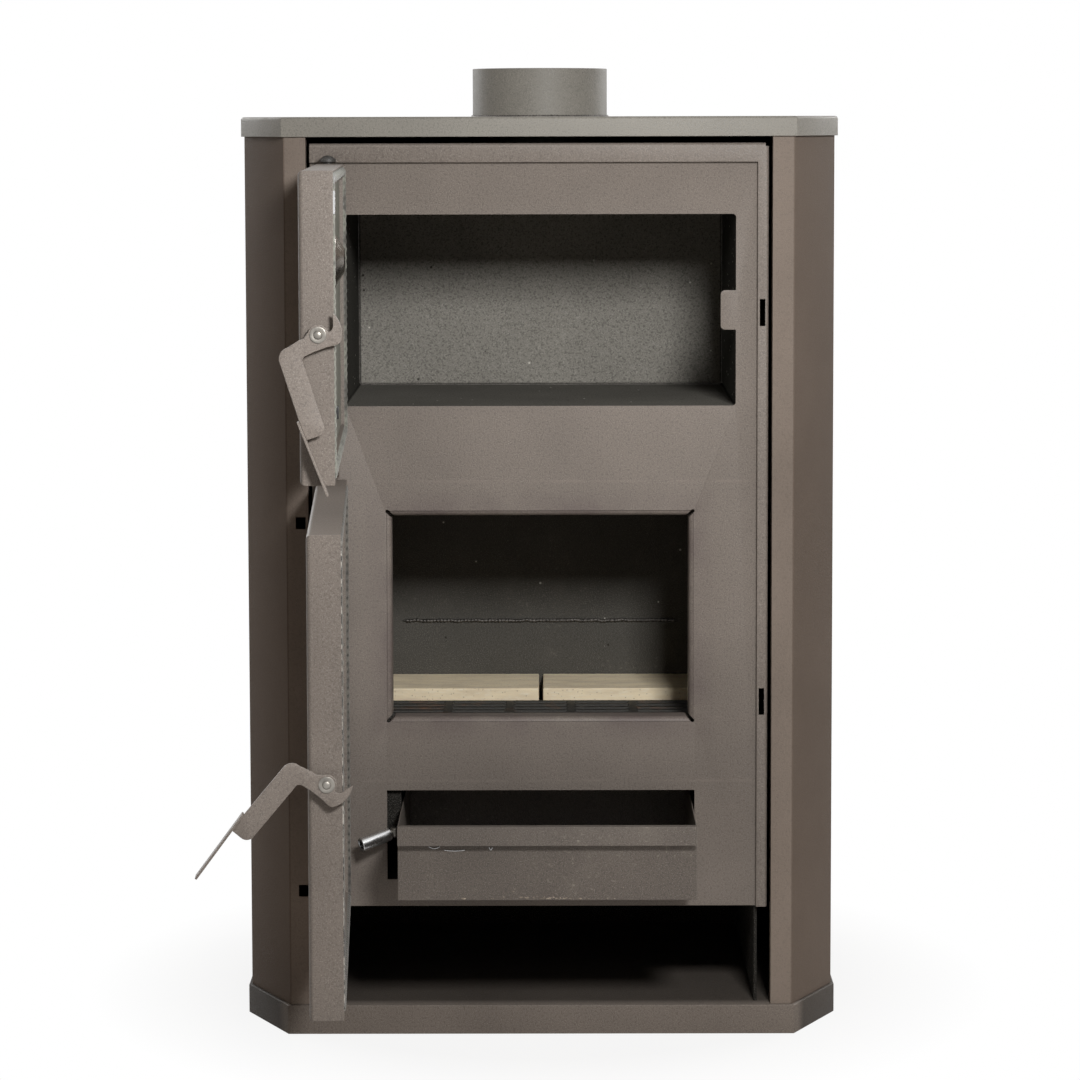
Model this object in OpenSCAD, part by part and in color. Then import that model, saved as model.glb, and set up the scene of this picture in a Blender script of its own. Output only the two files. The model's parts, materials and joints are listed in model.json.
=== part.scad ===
/* [Casing] */
// Height of the casing from the floor to the top plate
body_h = 843; // [700:1:1000]
// Full width of the top plate and the plinth
full_w = 552; // [460:1:660]
// Width that each slanted corner face takes up
corner_w = 43; // [30:1:60]
// Depth of the casing
body_d = 400; // [340:1:480]
// Depth that the slanted corner faces take up
corner_d = 75; // [60:1:90]
// Height of the folded edge round the top plate
top_skirt = 18; // [12:1:20]
// Height of the plinth
plinth_h = 27; // [22:1:40]
// Distance that the panels stand in from the plinth and the top plate
panel_inset = 3; // [2:0.5:5]
// Thickness of the casing sheet
sheet = 1.5; // [1:0.1:2]
// Width of the front face of each column
column_w = 21.7; // [18:0.1:30]
// Depth of the fold on the inner edge of each column
column_fold = 16; // [8:1:24]
// Width of the two small slots in the left column
peep_w = 9; // [4:1:10]
// Height of the two small slots in the left column
peep_h = 11; // [6:1:16]

/* [Front plate] */
// Gap between the front plate and each column
plate_gap = 3.3; // [2:0.1:5]
// Height of the opening of the wood store
store_h = 90; // [60:1:120]
// Distance of the front plate below the top of the casing
head_gap = 24; // [21:1:27]
// Thickness of the front plate
plate_t = 2; // [1.5:0.1:2.2]
// Distance of the plate behind the front of the casing
plate_back = 12; // [10:0.5:16]
// Distance that the raised rim stands forward of the plate
rim_raise = 5.5; // [5:0.1:5.8]
// Outer radius of the bend at the edge of the rim
rim_bend = 3; // [2.4:0.1:3]
// Depth of the edge that is folded back beside the rim
rim_return = 14; // [8:1:20]

/* [Openings] */
// Distance of the oven opening from each side edge of the plate
oven_side = 29.5; // [26:0.5:50]
// Height of the oven opening above the lower edge of its door
oven_rise = 27; // [20:0.5:34]
// Distance of the oven opening below the upper edge of its door
oven_drop = 46.5; // [30:0.5:60]
// Corner radius of the oven opening
oven_r = 3; // [2:0.5:20]
// Width of the stiffening tab that reaches into the oven opening
tab_w = 13.8; // [8:0.2:18]
// Height of that tab
tab_h = 36; // [30:1:44]
// Corner radius of that tab
tab_r = 4; // [2:0.5:6]
// Distance of the firebox opening from each side edge of the plate
fire_side = 72.2; // [56:0.1:84]
// Height of the firebox opening above the lower edge of its door
fire_rise = 170.5; // [150:0.5:190]
// Distance of the firebox opening below the upper edge of its door
fire_drop = 34.5; // [24:0.5:60]
// Outer radius of the bend of the edges folded in round the firebox opening
fire_bend = 4.5; // [3:0.1:6]
// Depth of those edges behind their bend
fire_fold = 16; // [4:0.5:20]
// Width of the slit between two folded edges at each corner
relief_w = 3.2; // [1.6:0.1:4]
// Length of that slit beyond the corner of the opening
relief_l = 7; // [6:0.5:12]
// Distance of the ash opening from each side edge of the plate
ash_side = 66.6; // [60:0.1:80]
// Height of the ash opening above the lower edge of its door
ash_rise = 19; // [16:0.5:24]
// Height of the ash opening
ash_h = 83; // [70:1:96]
// Width of each latch slot
slot_w = 5; // [4.6:0.1:5]
// Height of each latch slot
slot_h = 24.6; // [24.4:0.2:26]
// Distance of the latch slots from the right edge of the plate
slot_in = 5.5; // [5.5:0.1:5.7]

/* [Doors] */
// Distance of both doors from each side edge of the plate
door_side = 11.2; // [11:0.1:12]
// Thickness of both doors
door_t = 27.5; // [26:0.5:30]
// Thickness of the door sheet
door_sheet = 1.5; // [1.2:0.1:2]
// Outer radius of the bent edges of a door
door_edge_r = 4; // [3:0.5:5]
// Gap between a shut door and the front plate
door_gap = 2; // [1.8:0.1:2.4]
// Distance of the upper edge of the upper door below the top of the casing
door_drop = 42; // [40:1:46]
// Height of the upper door
upper_h = 248; // [205:1:300]
// Distance between the two doors
door_split = 39; // [34:1:50]
// Height of the lower edge of the lower door above that of the plate
door_rise = 6; // [5:0.5:9]
// Angle that the upper door stands open
upper_door_angle = 87.7; // [0:0.1:108]
// Angle that the lower door stands open
lower_door_angle = 87.1; // [80:0.1:108]
// Distance of the hinge axis from the side edge of a door
hinge_in = 6.3; // [6.2:0.1:7]
// Distance of the hinge axis in front of the inner edge of a door
hinge_front = 15; // [14.8:0.1:15.4]
// Radius of the hinge pins
pin_r = 4; // [3:0.5:4]
// Radial clearance round a pin
pin_clear = 0.05; // [0.02:0.01:0.1]
// Thickness of the hinge lugs
lug_t = 3; // [2.5:0.5:4]
// Radius of the rounded end of the hinge lugs
lug_r = 7; // [6:0.5:8]
// Gap between a hinge lug and its door
lug_gap = 1.5; // [1:0.1:2]
// Radius of the sealing rope
rope_r = 4.6; // [4:0.1:4.7]
// Thickness of the rope channel and the door linings
lining_t = 1; // [0.8:0.1:1.3]

/* [Latches] */
// Length of the arm of a latch lever
arm_l = 65; // [54:1:70]
// Width of the arm of a latch lever
arm_w = 17.4; // [14:0.2:18]
// Thickness of a latch lever
lever_t = 2.5; // [2:0.1:2.8]
// Distance of the latch pivot in front of the inner edge of a door
pivot_front = 12.3; // [12.1:0.1:12.5]
// Height of the latch pivots above the middle of their slots
pivot_rise = 7.5; // [7.3:0.1:7.7]
// Angle that the upper lever is turned down
upper_lever_angle = 58; // [0:1:58]
// Angle that the lower lever is turned down
lower_lever_angle = 0; // [0:1:58]
// Length of the grip plate
grip_l = 63; // [50:1:66]
// Width of the grip plate
grip_w = 12.8; // [8:0.2:13]
// Thickness of the grip plate
grip_t = 1.8; // [1.5:0.1:2.5]
// Length of the grip plate that lies on the arm
grip_lap = 16; // [10:1:20]
// Radius of the pivot bolts
bolt_r = 2.5; // [2:0.1:2.8]

/* [Thermometer] */
// Radius of the thermometer case
gauge_r = 30; // [24:1:36]
// Depth of the thermometer case behind its rim
gauge_d = 9; // [8:0.5:14]
// Height of the thermometer rim on the door
gauge_rim_h = 1.5; // [1:0.1:2.5]
// Width of the thermometer rim beside the case
gauge_rim_w = 2.5; // [1:0.5:4]
// Distance of the middle of the thermometer below the upper edge of its door
gauge_drop = 79; // [60:1:100]
// Radius of the dished back of the thermometer
dish_r = 23; // [18:1:28]
// Height of the dished back
dish_h = 6; // [4:0.1:6.2]

/* [Firebox and oven] */
// Depth of the inner shell behind the front plate
shell_d = 292; // [260:1:320]
// Distance from the back of the firebox to the back of the shell
fire_back = 84; // [70:1:100]
// Distance from the back of the oven to the back of the shell
oven_back = 52; // [46:1:90]
// Thickness of the inner shell
shell_t = 3; // [2:0.5:4]
// Width of the water space at each side of the firebox
jacket_side = 30; // [24:1:32]
// Thickness of the walls of the water jacket
jacket_t = 4; // [3:0.5:5]
// Distance of the water jacket below the oven opening
jacket_drop = 20; // [12:1:60]
// Distance of the firebox floor below the firebox opening
floor_drop = 29.5; // [26:0.5:34]
// Thickness of the firebox floor
floor_t = 4; // [3:0.5:5]
// Distance of the fire bricks from each side of the firebox
brick_side = 8; // [4:0.2:40]
// Thickness of the fire bricks
brick_t = 25; // [20:1:30]
// Depth of the fire bricks
brick_d = 82; // [70:1:98]
// Gap between the two fire bricks
brick_gap = 4; // [2:0.5:8]
// Thickness of the grate
grate_t = 14; // [10:0.5:18]
// Distance that the grate lies on the floor at each side
grate_lap = 12; // [8:1:14]
// Width of each slot in the grate
grate_slot = 8; // [6:0.5:10]
// Number of slots in the grate
grate_n = 15; // [11:2:17]
// Thickness of the oven sheet
oven_sheet = 1.5; // [1:0.1:2]
// Distance of the baffle below the top of the water jacket
baffle_drop = 30; // [20:1:80]
// Depth of the baffle
baffle_d = 130; // [90:1:160]
// Thickness of the baffle
baffle_t = 6; // [4:0.5:8]

/* [Riddling gear] */
// Radius of the riddling shaft
rod_r = 4; // [3:0.5:4]
// Distance of the shaft inside the left edge of the ash opening
rod_in = 6.7; // [6.5:0.1:7]
// Height of the shaft above the lower edge of the ash opening
rod_rise = 45; // [40:1:50]
// Outer radius of the handle sleeve
sleeve_r = 6.2; // [5.6:0.1:6.3]
// Length of the handle sleeve
sleeve_l = 30; // [22:1:32]
// Radius of the tip of the crank
tip_r = 4; // [3:0.5:4]

/* [Ash drawer] */
// Gap at the left of the ash drawer
drawer_left = 13.4; // [13.2:0.1:14]
// Gap at the right of the ash drawer
drawer_right = 1.4; // [1:0.1:2.6]
// Distance of the top of the drawer below the top of the ash opening
drawer_drop = 15; // [10:1:24]
// Depth of the ash drawer
drawer_d = 236; // [200:1:240]
// Thickness of the drawer sheet
drawer_t = 1; // [0.8:0.1:1.5]
// Distance that the drawer stands out
drawer_out = 78; // [0:1:90]
// Height of the folded lip
lip_h = 17; // [12:1:22]
// Distance that the lip stands forward
lip_d = 8; // [5:0.5:9]
// Height of the drawer runners
runner_h = 16; // [10:1:24]

/* [Flue and water connections] */
// Outer radius of the flue collar
flue_r = 65; // [55:1:72]
// Wall of the flue collar
flue_t = 2; // [1.5:0.5:3]
// Height of the flue collar above the top plate
flue_h = 46; // [40:1:70]
// Distance from the middle of the flue collar to the back of the shell
flue_back = 81; // [75:1:120]
// Bore radius of the water sockets
socket_bore = 15.1; // [12:0.1:16]
// Outer radius of the water sockets
socket_r = 20.5; // [19.5:0.5:24]
// Distance of the water sockets from each side of the shell
socket_in = 46.4; // [36:0.2:90]
// Distance of the flow socket below the top of the water jacket
flow_drop = 40; // [36:1:80]
// Height of the return socket above the bottom of the water jacket
return_rise = 40; // [36:1:80]
// Distance of the socket mouths behind the casing
socket_out = 18; // [10:1:30]
// Radius of the heads of the rear panel screws
screw_r = 4.5; // [3:0.5:6]

/* [Hidden] */

// Overrun of every cut
eps = sheet;
// Gap between pieces that slide or turn past each other
play = 0.3;
// Wider gap beside pieces that slide
clear = 0.6;

// Plan of the casing
front_y = -body_d / 2;
back_y = body_d / 2;
front_w = full_w - 2 * corner_w;
corner_l = sqrt(corner_w * corner_w + corner_d * corner_d);
way_half = front_w / 2 - column_w;
panel_y0 = front_y + panel_inset;
panel_y1 = back_y - panel_inset - sheet;
panel_z1 = body_h - sheet;
peep_x = way_half + sheet + peep_w / 2 + sheet / 2;

// Front plate and its raised rim
plate_half = way_half - plate_gap;
plate_z0 = plinth_h + store_h;
plate_z1 = body_h - head_gap;
slot_x = plate_half - slot_in;
plate_y0 = front_y + plate_back;
plate_y1 = plate_y0 + plate_t;
rim_y = plate_y0 - rim_raise;
rim_x0 = slot_x - slot_w / 2 - plate_t;
upper_z1 = body_h - door_drop;
upper_z0 = upper_z1 - upper_h;
lower_z1 = upper_z0 - door_split;
lower_z0 = plate_z0 + door_rise;
lower_h = lower_z1 - lower_z0;
oven_w = 2 * (plate_half - oven_side);
oven_z0 = upper_z0 + oven_rise;
oven_h = upper_h - oven_rise - oven_drop;
fire_w = 2 * (plate_half - fire_side);
fire_z0 = lower_z0 + fire_rise;
fire_h = lower_z1 - fire_drop - fire_z0;
ash_w = 2 * (plate_half - ash_side);
ash_z0 = lower_z0 + ash_rise;
peep_low = 10.5;
peep_high = 40;
peep_z = [lower_z0 + peep_low, lower_z1 - peep_high];
band_z = upper_z1 + 4 * clear / 3;
upper_slot_z = upper_z0 + upper_h * 0.452;
lower_slot_z = lower_z0 + lower_h * 0.4735;
upper_pivot_z = upper_slot_z + pivot_rise;
lower_pivot_z = lower_slot_z + pivot_rise;

// Inner shell, firebox and oven
shell_half = rim_x0 + plate_t - clear;
shell_in = shell_half - shell_t;
shell_y1 = plate_y1 + shell_d;
shell_z1 = band_z;
fire_half = shell_in - jacket_side;
fire_y1 = shell_y1 - fire_back;
oven_y1 = shell_y1 - oven_back;
collar_y = shell_y1 - flue_back;
floor_z = fire_z0 - floor_drop;
jacket_z1 = oven_z0 - jacket_drop;
baffle_z = jacket_z1 - baffle_drop;
brick_w = fire_half - brick_side - brick_gap / 2;
socket_x = shell_in - socket_in;
flow_z = jacket_z1 - flow_drop;
return_z = floor_z + return_rise;

// Doors
door_half = plate_half - door_side;
door_y1 = plate_y0 - door_gap;
door_y0 = door_y1 - door_t;
hinge_x = -door_half + hinge_in;
hinge_y = door_y1 - hinge_front;
pin_reach = 3 * pin_r;
pin_head_r = 1.6 * pin_r;
pin_head_h = 0.75 * pin_r;
rope_y = plate_y0 - play - rope_r;
channel_y = rope_y - rope_r - lining_t;
channel_lip = rope_y + rope_r / 3;
rope_in = door_sheet + lining_t + rope_r;
channel_in = rope_in + rope_r + lining_t;
lining_y = channel_y + 3 * lining_t;

// Latches
pivot_y = door_y1 - pivot_front;
lever_x = slot_x - lever_t / 2;
bush_r = 2 * bolt_r;
rivet_r = bolt_r + clear;
rivet_h = bolt_r;
grip_x = door_half + clear;
grip_turn = 3.5;
hub_r = 8;
arc_c = [0, 2.5];
arc_r = 21;
hook_tip = 0.8;
hook_shape = [[-5.2, -10.2], [0.8, -16.4], [5, -18.6], [23, -18.6], [23, 0.8], [0, 0.8]];
neck_shape = [[-27, 0], [-20.2, 0.2], [-13.2, -4.2], [-5.2, -10.4], [3, -14],
    [3, 7.4], [-2, 7.7], [-8.2, 8], [-11.2, 10.3], [-21.6, 15.4]];
arm_start = [-27.4, 8.9];
arm_turn = 229.9;
arm_end_r = 7;
notch_c = [7.3, 6.8];
notch_r = 4.4;
notch_run = 40;
notch_turn = 58;

// Thermometer
gauge_wall = 1.5;
gauge_y = door_y0 - gauge_rim_h;
gauge_stem = 5;
dial_t = 1;
glass_t = 2;

// Riddling gear
sleeve_dir = [-28.3, -16, -7.5];
sleeve_len = norm(sleeve_dir);
knuckle_r = 1.2 * rod_r;
sleeve_gap = knuckle_r + play;
rod_x = ash_w / 2 - rod_in;
rod_z = ash_z0 + rod_rise;
rod_front = plate_y0 - 2 * sleeve_r / 3 - clear;
crank_w = 5;
crank_d = 8;
crank_top = floor_z - floor_t - tip_r;
grate_front = 4;
grate_back = 6;
grate_y0 = plate_y1 + grate_front;
grate_d = fire_y1 - brick_d - grate_back - grate_y0;
rod_back = grate_y0 + grate_d / 2 - crank_d / 4;
fork_t = 4;
fork_in = tip_r + clear;
fork_h = 18;
fork_d = crank_d + 2 * clear;
grate_pitch = 2 * (rod_x - fork_in - fork_t - grate_slot) / grate_n;
bearing_d = 22;
hatch_edge = 5.3;
hatch_half = rod_x + hatch_edge;
hatch_in = 18;
hatch_y0 = grate_y0 + hatch_in;
hatch_d = grate_d - 2 * hatch_in;
grate_w = 2 * (hatch_half + grate_lap);

// Ash drawer
drawer_z0 = ash_z0 + play;
drawer_y = plate_y0 - 2 * plate_t - drawer_out;
drawer_x0 = -ash_w / 2 + drawer_left;
drawer_w = ash_w - drawer_left - drawer_right;
drawer_h = ash_h - drawer_drop;

// Shared helpers
module box(a, b) translate(a) cube(b - a);
module flat(a, b) translate(a) square(b - a);
module along_x(x0, x1) translate([x0, 0, 0]) rotate([90, 0, 90]) linear_extrude(x1 - x0) children();
module along_y(y0, y1) translate([0, y1, 0]) rotate([90, 0, 0]) linear_extrude(y1 - y0) children();
module tube_y(r, y0, y1) translate([0, y0, 0]) rotate([-90, 0, 0]) cylinder(h = y1 - y0, r = r);
module tube_x(r, x0, x1) translate([x0, 0, 0]) rotate([0, 90, 0]) cylinder(h = x1 - x0, r = r);
module rounded(w, h, r) {
    flat([-w / 2 + r, 0], [w / 2 - r, h]);
    flat([-w / 2, r], [w / 2, h - r]);
    for (sx = [-1, 1], z = [r, h - r]) translate([sx * (w / 2 - r), z]) circle(r = r);
}
module dome(r, h) {
    ball = (r * r + h * h) / (2 * h);
    intersection() {
        translate([0, 0, h - ball]) sphere(r = ball);
        cylinder(h = h, r = r);
    }
}

// Casing
function corner_x(d) = front_w / 2 - d * (corner_l - corner_w) / corner_d;
function corner_y(d) = front_y + corner_d + d * (corner_l - corner_d) / corner_w;
module casing_plan(d) {
    polygon([[-corner_x(d), front_y + d], [corner_x(d), front_y + d],
        [full_w / 2 - d, corner_y(d)], [full_w / 2 - d, back_y - d],
        [-full_w / 2 + d, back_y - d], [-full_w / 2 + d, corner_y(d)]]);
}
module side_plan(s) {
    p = panel_inset;
    q = panel_inset + sheet;
    polygon([[s * way_half, front_y + p], [s * corner_x(p), front_y + p],
        [s * (full_w / 2 - p), corner_y(p)], [s * (full_w / 2 - p), panel_y1],
        [s * (full_w / 2 - q), panel_y1], [s * (full_w / 2 - q), corner_y(q)],
        [s * corner_x(q), front_y + q], [s * (way_half + sheet), front_y + q],
        [s * (way_half + sheet), front_y + p + column_fold],
        [s * way_half, front_y + p + column_fold]]);
}

module plinth() color("#5b544c") difference() {
    linear_extrude(plinth_h) casing_plan(0);
    translate([0, 0, -eps]) linear_extrude(plinth_h - sheet + eps) casing_plan(sheet);
}
module left_side_panel() color("#6f665c") difference() {
    translate([0, 0, plinth_h]) linear_extrude(panel_z1 - plinth_h) side_plan(-1);
    for (z = peep_z)
        box([-peep_x - peep_w / 2, panel_y0 - eps, z - peep_h / 2],
            [-peep_x + peep_w / 2, panel_y0 + sheet + eps, z + peep_h / 2]);
}
module right_side_panel() color("#6f665c")
    translate([0, 0, plinth_h]) linear_extrude(panel_z1 - plinth_h) side_plan(1);
module rear_panel() color("#5f574e") difference() {
    box([-full_w / 2 + panel_inset, panel_y1, plinth_h],
        [full_w / 2 - panel_inset, panel_y1 + sheet, panel_z1]);
    socket_places() tube_y(socket_r + clear, panel_y1 - eps, back_y);
}
module top_plate() color("#756b60") difference() {
    translate([0, 0, body_h - top_skirt]) linear_extrude(top_skirt) casing_plan(0);
    translate([0, 0, body_h - top_skirt - eps])
        linear_extrude(top_skirt - sheet + eps) casing_plan(sheet);
    translate([0, collar_y, body_h - top_skirt]) cylinder(h = top_skirt + eps, r = flue_r - flue_t);
}
module pipe(z0, z1) translate([0, collar_y, z0]) difference() {
    cylinder(h = z1 - z0, r = flue_r);
    translate([0, 0, -eps]) cylinder(h = z1 - z0 + 2 * eps, r = flue_r - flue_t);
}
module flue_collar() color("#6a6259") pipe(body_h, body_h + flue_h);
module flue_throat() color("#4a453f") pipe(shell_z1, panel_z1);
module panel_screws() color("#a9a49c")
    for (sx = [-1, 1], k = [0:4])
        translate([sx * (full_w / 2 - panel_inset - 3 * screw_r), panel_y1 + sheet,
            plinth_h + 4 * screw_r + k * (panel_z1 - top_skirt - plinth_h - 8 * screw_r) / 4])
            rotate([-90, 0, 0]) dome(screw_r, screw_r / 2);

// Front plate
module fold_profile(a0, a1) {
    flat([a0, rim_y], [a0 + plate_t, plate_y1]);
    flat([a0, rim_y], [a1 - rim_bend, rim_y + plate_t]);
    flat([a1 - plate_t, rim_y + rim_bend], [a1, rim_y + rim_bend + rim_return]);
    difference() {
        intersection() {
            translate([a1 - rim_bend, rim_y + rim_bend]) circle(r = rim_bend);
            flat([a1 - rim_bend, rim_y], [a1, rim_y + rim_bend]);
        }
        translate([a1 - rim_bend, rim_y + rim_bend]) circle(r = rim_bend - plate_t);
    }
}
module slot_cut(z) box([slot_x - slot_w / 2, rim_y - eps, z - slot_h / 2],
    [slot_x + slot_w / 2, rim_y + plate_t + eps, z + slot_h / 2]);
module tab_shape() {
    z = oven_z0 + oven_h * 0.5 - tab_h / 2;
    flat([oven_w / 2 - tab_w + tab_r, z], [oven_w / 2 + eps, z + tab_h]);
    flat([oven_w / 2 - tab_w, z + tab_r], [oven_w / 2 + eps, z + tab_h - tab_r]);
    for (k = [tab_r, tab_h - tab_r]) translate([oven_w / 2 - tab_w + tab_r, z + k]) circle(r = tab_r);
}
module edge_profile(a) translate([a, 0]) {
    flat([fire_bend - eps / 8, plate_y0], [fire_bend + eps, plate_y1]);
    flat([0, plate_y0 + fire_bend], [plate_t, plate_y0 + fire_bend + fire_fold]);
    difference() {
        intersection() {
            translate([fire_bend, plate_y0 + fire_bend]) circle(r = fire_bend);
            flat([0, plate_y0], [fire_bend, plate_y0 + fire_bend]);
        }
        translate([fire_bend, plate_y0 + fire_bend]) circle(r = fire_bend - plate_t);
    }
}
module slit_flat() {
    flat([-relief_w, -relief_w / 2], [relief_l - relief_w / 2, relief_w / 2]);
    translate([relief_l - relief_w / 2, 0]) circle(r = relief_w / 2);
}
module slit_cuts() along_y(plate_y0 - eps, plate_y1 + fire_bend + fire_fold + eps)
    for (sx = [-1, 1], sz = [-1, 1]) translate([sx * fire_w / 2, fire_z0 + (1 + sz) * fire_h / 2])
        rotate(sz * (90 - sx * 45)) slit_flat();
module front_plate() color("#6b6258") {
    difference() {
        union() {
            box([-plate_half, plate_y0, plate_z0], [rim_x0 + plate_t, plate_y1, band_z + plate_t]);
            translate([0, 0, plate_z0]) linear_extrude(plate_z1 - rim_bend - plate_z0)
                fold_profile(rim_x0, plate_half);
            translate([plate_half - rim_bend, 0, 0]) rotate([0, -90, 0])
                linear_extrude(2 * plate_half - rim_bend) fold_profile(band_z, plate_z1);
            box([-plate_half, plate_y0, plate_z0],
                [-plate_half + plate_t, plate_y0 + rim_return, band_z]);
        }
        along_y(plate_y0 - eps, plate_y1 + eps) difference() {
            translate([0, oven_z0]) rounded(oven_w, oven_h, oven_r);
            tab_shape();
        }
        box([-fire_w / 2 - fire_bend, plate_y0 - eps, fire_z0 - fire_bend],
            [fire_w / 2 + fire_bend, plate_y1 + eps, fire_z0 + fire_h + fire_bend]);
        box([-ash_w / 2, plate_y0 - eps, ash_z0], [ash_w / 2, plate_y1 + eps, ash_z0 + ash_h]);
        slit_cuts();
        slot_cut(upper_slot_z);
        slot_cut(lower_slot_z);
    }
    difference() {
        union() {
            for (a = [0, 180]) translate([0, 0, fire_z0 + fire_h / 2]) rotate([0, a, 0]) {
                translate([0, 0, -fire_h / 2 - fire_bend])
                    linear_extrude(fire_h + 2 * fire_bend) edge_profile(fire_w / 2);
                translate([-fire_w / 2 - fire_bend, 0, 0]) rotate([0, 90, 0])
                    linear_extrude(fire_w + 2 * fire_bend) edge_profile(fire_h / 2);
            }
        }
        slit_cuts();
    }
}

// Inner shell, water jacket, firebox and oven
module socket_places() {
    translate([-socket_x, 0, flow_z]) children();
    translate([socket_x, 0, return_z]) children();
}
module inner_shell() color("#4a453f") difference() {
    box([-shell_half, plate_y1, plinth_h], [shell_half, shell_y1 + shell_t, shell_z1 - shell_t]);
    box([-shell_in, plate_y1 - eps, plinth_h - eps], [shell_in, shell_y1, shell_z1]);
    socket_places() tube_y(socket_r + 2 * pin_clear, shell_y1 - eps, shell_y1 + shell_t + eps);
}
module shell_top() color("#4a453f") difference() {
    box([-shell_half, plate_y1, shell_z1 - shell_t], [shell_half, shell_y1 + shell_t, shell_z1]);
    translate([0, collar_y, shell_z1 - shell_t - eps])
        cylinder(h = shell_t + 2 * eps, r = flue_r - flue_t);
}
module ash_floor() color("#4a453f")
    box([-shell_in, plate_y1, ash_z0 - shell_t], [shell_in, shell_y1, ash_z0]);
module firebox_floor() color("#4a453f") difference() {
    box([-shell_in, plate_y1, floor_z - floor_t], [shell_in, shell_y1, floor_z]);
    box([-hatch_half, hatch_y0, floor_z - floor_t - eps],
        [hatch_half, hatch_y0 + hatch_d, floor_z + eps]);
    box([-hatch_half - grate_lap, rod_back - crank_d - 4 * clear, floor_z - floor_t - eps],
        [-hatch_half + eps, rod_back + 4 * clear, floor_z + eps]);
}
module jacket_plan(d) difference() {
    flat([-shell_in + d, plate_y1 + d], [shell_in - d, shell_y1 - d]);
    flat([-fire_half - d, plate_y1 - eps], [fire_half + d, fire_y1 + d]);
}
module water_jacket() color("#524c45") difference() {
    translate([0, 0, floor_z]) linear_extrude(jacket_z1 - floor_z) jacket_plan(0);
    translate([0, 0, floor_z + jacket_t])
        linear_extrude(jacket_z1 - floor_z - 2 * jacket_t) jacket_plan(jacket_t);
    socket_places() tube_y(socket_r + 2 * pin_clear, shell_y1 - jacket_t - eps, shell_y1 + eps);
}
module socket() difference() {
    tube_y(socket_r, shell_y1 - jacket_t, back_y + socket_out);
    tube_y(socket_bore, shell_y1 - jacket_t - eps, back_y + socket_out + eps);
}
module flow_socket() color("#77706a") translate([-socket_x, 0, flow_z]) socket();
module return_socket() color("#77706a") translate([socket_x, 0, return_z]) socket();
module oven_box() color("#5c554d") difference() {
    along_y(plate_y1, oven_y1) translate([0, oven_z0 - oven_sheet])
        rounded(oven_w + 2 * oven_sheet, oven_h + 2 * oven_sheet, oven_r + oven_sheet);
    along_y(plate_y1 - eps, oven_y1 - oven_sheet) translate([0, oven_z0]) rounded(oven_w, oven_h, oven_r);
}
module flue_baffle() color("#3f3b37")
    box([-fire_half, fire_y1 - baffle_d, baffle_z], [fire_half, fire_y1, baffle_z + baffle_t]);
module brick(x) box([x, fire_y1 - brick_d, floor_z], [x + brick_w, fire_y1, floor_z + brick_t]);
module left_brick() color("#b08a5e") brick(-brick_gap / 2 - brick_w);
module right_brick() color("#b08a5e") brick(brick_gap / 2);

// Ash drawer and its runners
module runner(x) box([x, plate_y1 + bearing_d / 2, ash_z0],
    [x + plate_t, plate_y1 + drawer_d, ash_z0 + runner_h]);
module left_runner() color("#4a453f") runner(drawer_x0 - clear - plate_t);
module right_runner() color("#4a453f") runner(drawer_x0 + drawer_w + clear);
module ash_drawer() color("#7a736a") {
    difference() {
        box([drawer_x0, drawer_y, drawer_z0],
            [drawer_x0 + drawer_w, drawer_y + drawer_d, drawer_z0 + drawer_h]);
        box([drawer_x0 + drawer_t, drawer_y + drawer_t, drawer_z0 + drawer_t],
            [drawer_x0 + drawer_w - drawer_t, drawer_y + drawer_d - drawer_t,
                drawer_z0 + drawer_h + eps]);
    }
    box([drawer_x0, drawer_y - lip_d, drawer_z0 + drawer_h - drawer_t],
        [drawer_x0 + drawer_w, drawer_y + drawer_t, drawer_z0 + drawer_h]);
    box([drawer_x0, drawer_y - lip_d, drawer_z0 + drawer_h - lip_h],
        [drawer_x0 + drawer_w, drawer_y - lip_d + drawer_t, drawer_z0 + drawer_h]);
}

// Riddling gear
module at_rod() translate([-rod_x, 0, rod_z]) children();
module to_sleeve() at_rod() translate([0, rod_front, 0])
    rotate([0, acos(sleeve_dir[2] / sleeve_len), atan2(sleeve_dir[1], sleeve_dir[0])]) children();
module rod_bearing() color("#4a453f") difference() {
    box([-rod_x - rod_r - fork_t, plate_y1 + fork_t, rod_z - rod_r - fork_t],
        [drawer_x0 - clear, plate_y1 + fork_t + bearing_d, floor_z - floor_t]);
    at_rod() tube_y(rod_r + pin_clear, plate_y1, plate_y1 + 2 * fork_t + bearing_d);
}
module riddling_shaft() color("#6d6a66") {
    at_rod() tube_y(rod_r, rod_front, rod_back);
    at_rod() translate([0, rod_front, 0]) sphere(r = knuckle_r);
    to_sleeve() cylinder(h = sleeve_gap + sleeve_l / 2, r = rod_r);
    along_y(rod_back - crank_d, rod_back) {
        flat([-rod_x - crank_w / 2, rod_z], [-rod_x + crank_w / 2, crank_top]);
        translate([-rod_x, crank_top]) circle(r = tip_r);
    }
}
module riddling_sleeve() color("#c9ccd0") to_sleeve() translate([0, 0, sleeve_gap]) difference() {
    cylinder(h = sleeve_l, r = sleeve_r);
    translate([0, 0, -eps]) cylinder(h = sleeve_l + 2 * eps, r = rod_r + pin_clear);
}
module grate() color("#3a3835") {
    difference() {
        box([-grate_w / 2, grate_y0, floor_z + play],
            [grate_w / 2, grate_y0 + grate_d, floor_z + play + grate_t]);
        for (k = [0:grate_n - 1])
            translate([(k - (grate_n - 1) / 2) * grate_pitch, 0, 0])
                box([-grate_slot / 2, grate_y0 + 2 * grate_slot, floor_z - eps],
                    [grate_slot / 2, grate_y0 + grate_d - 2 * grate_slot,
                        floor_z + play + grate_t + eps]);
    }
}
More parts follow.
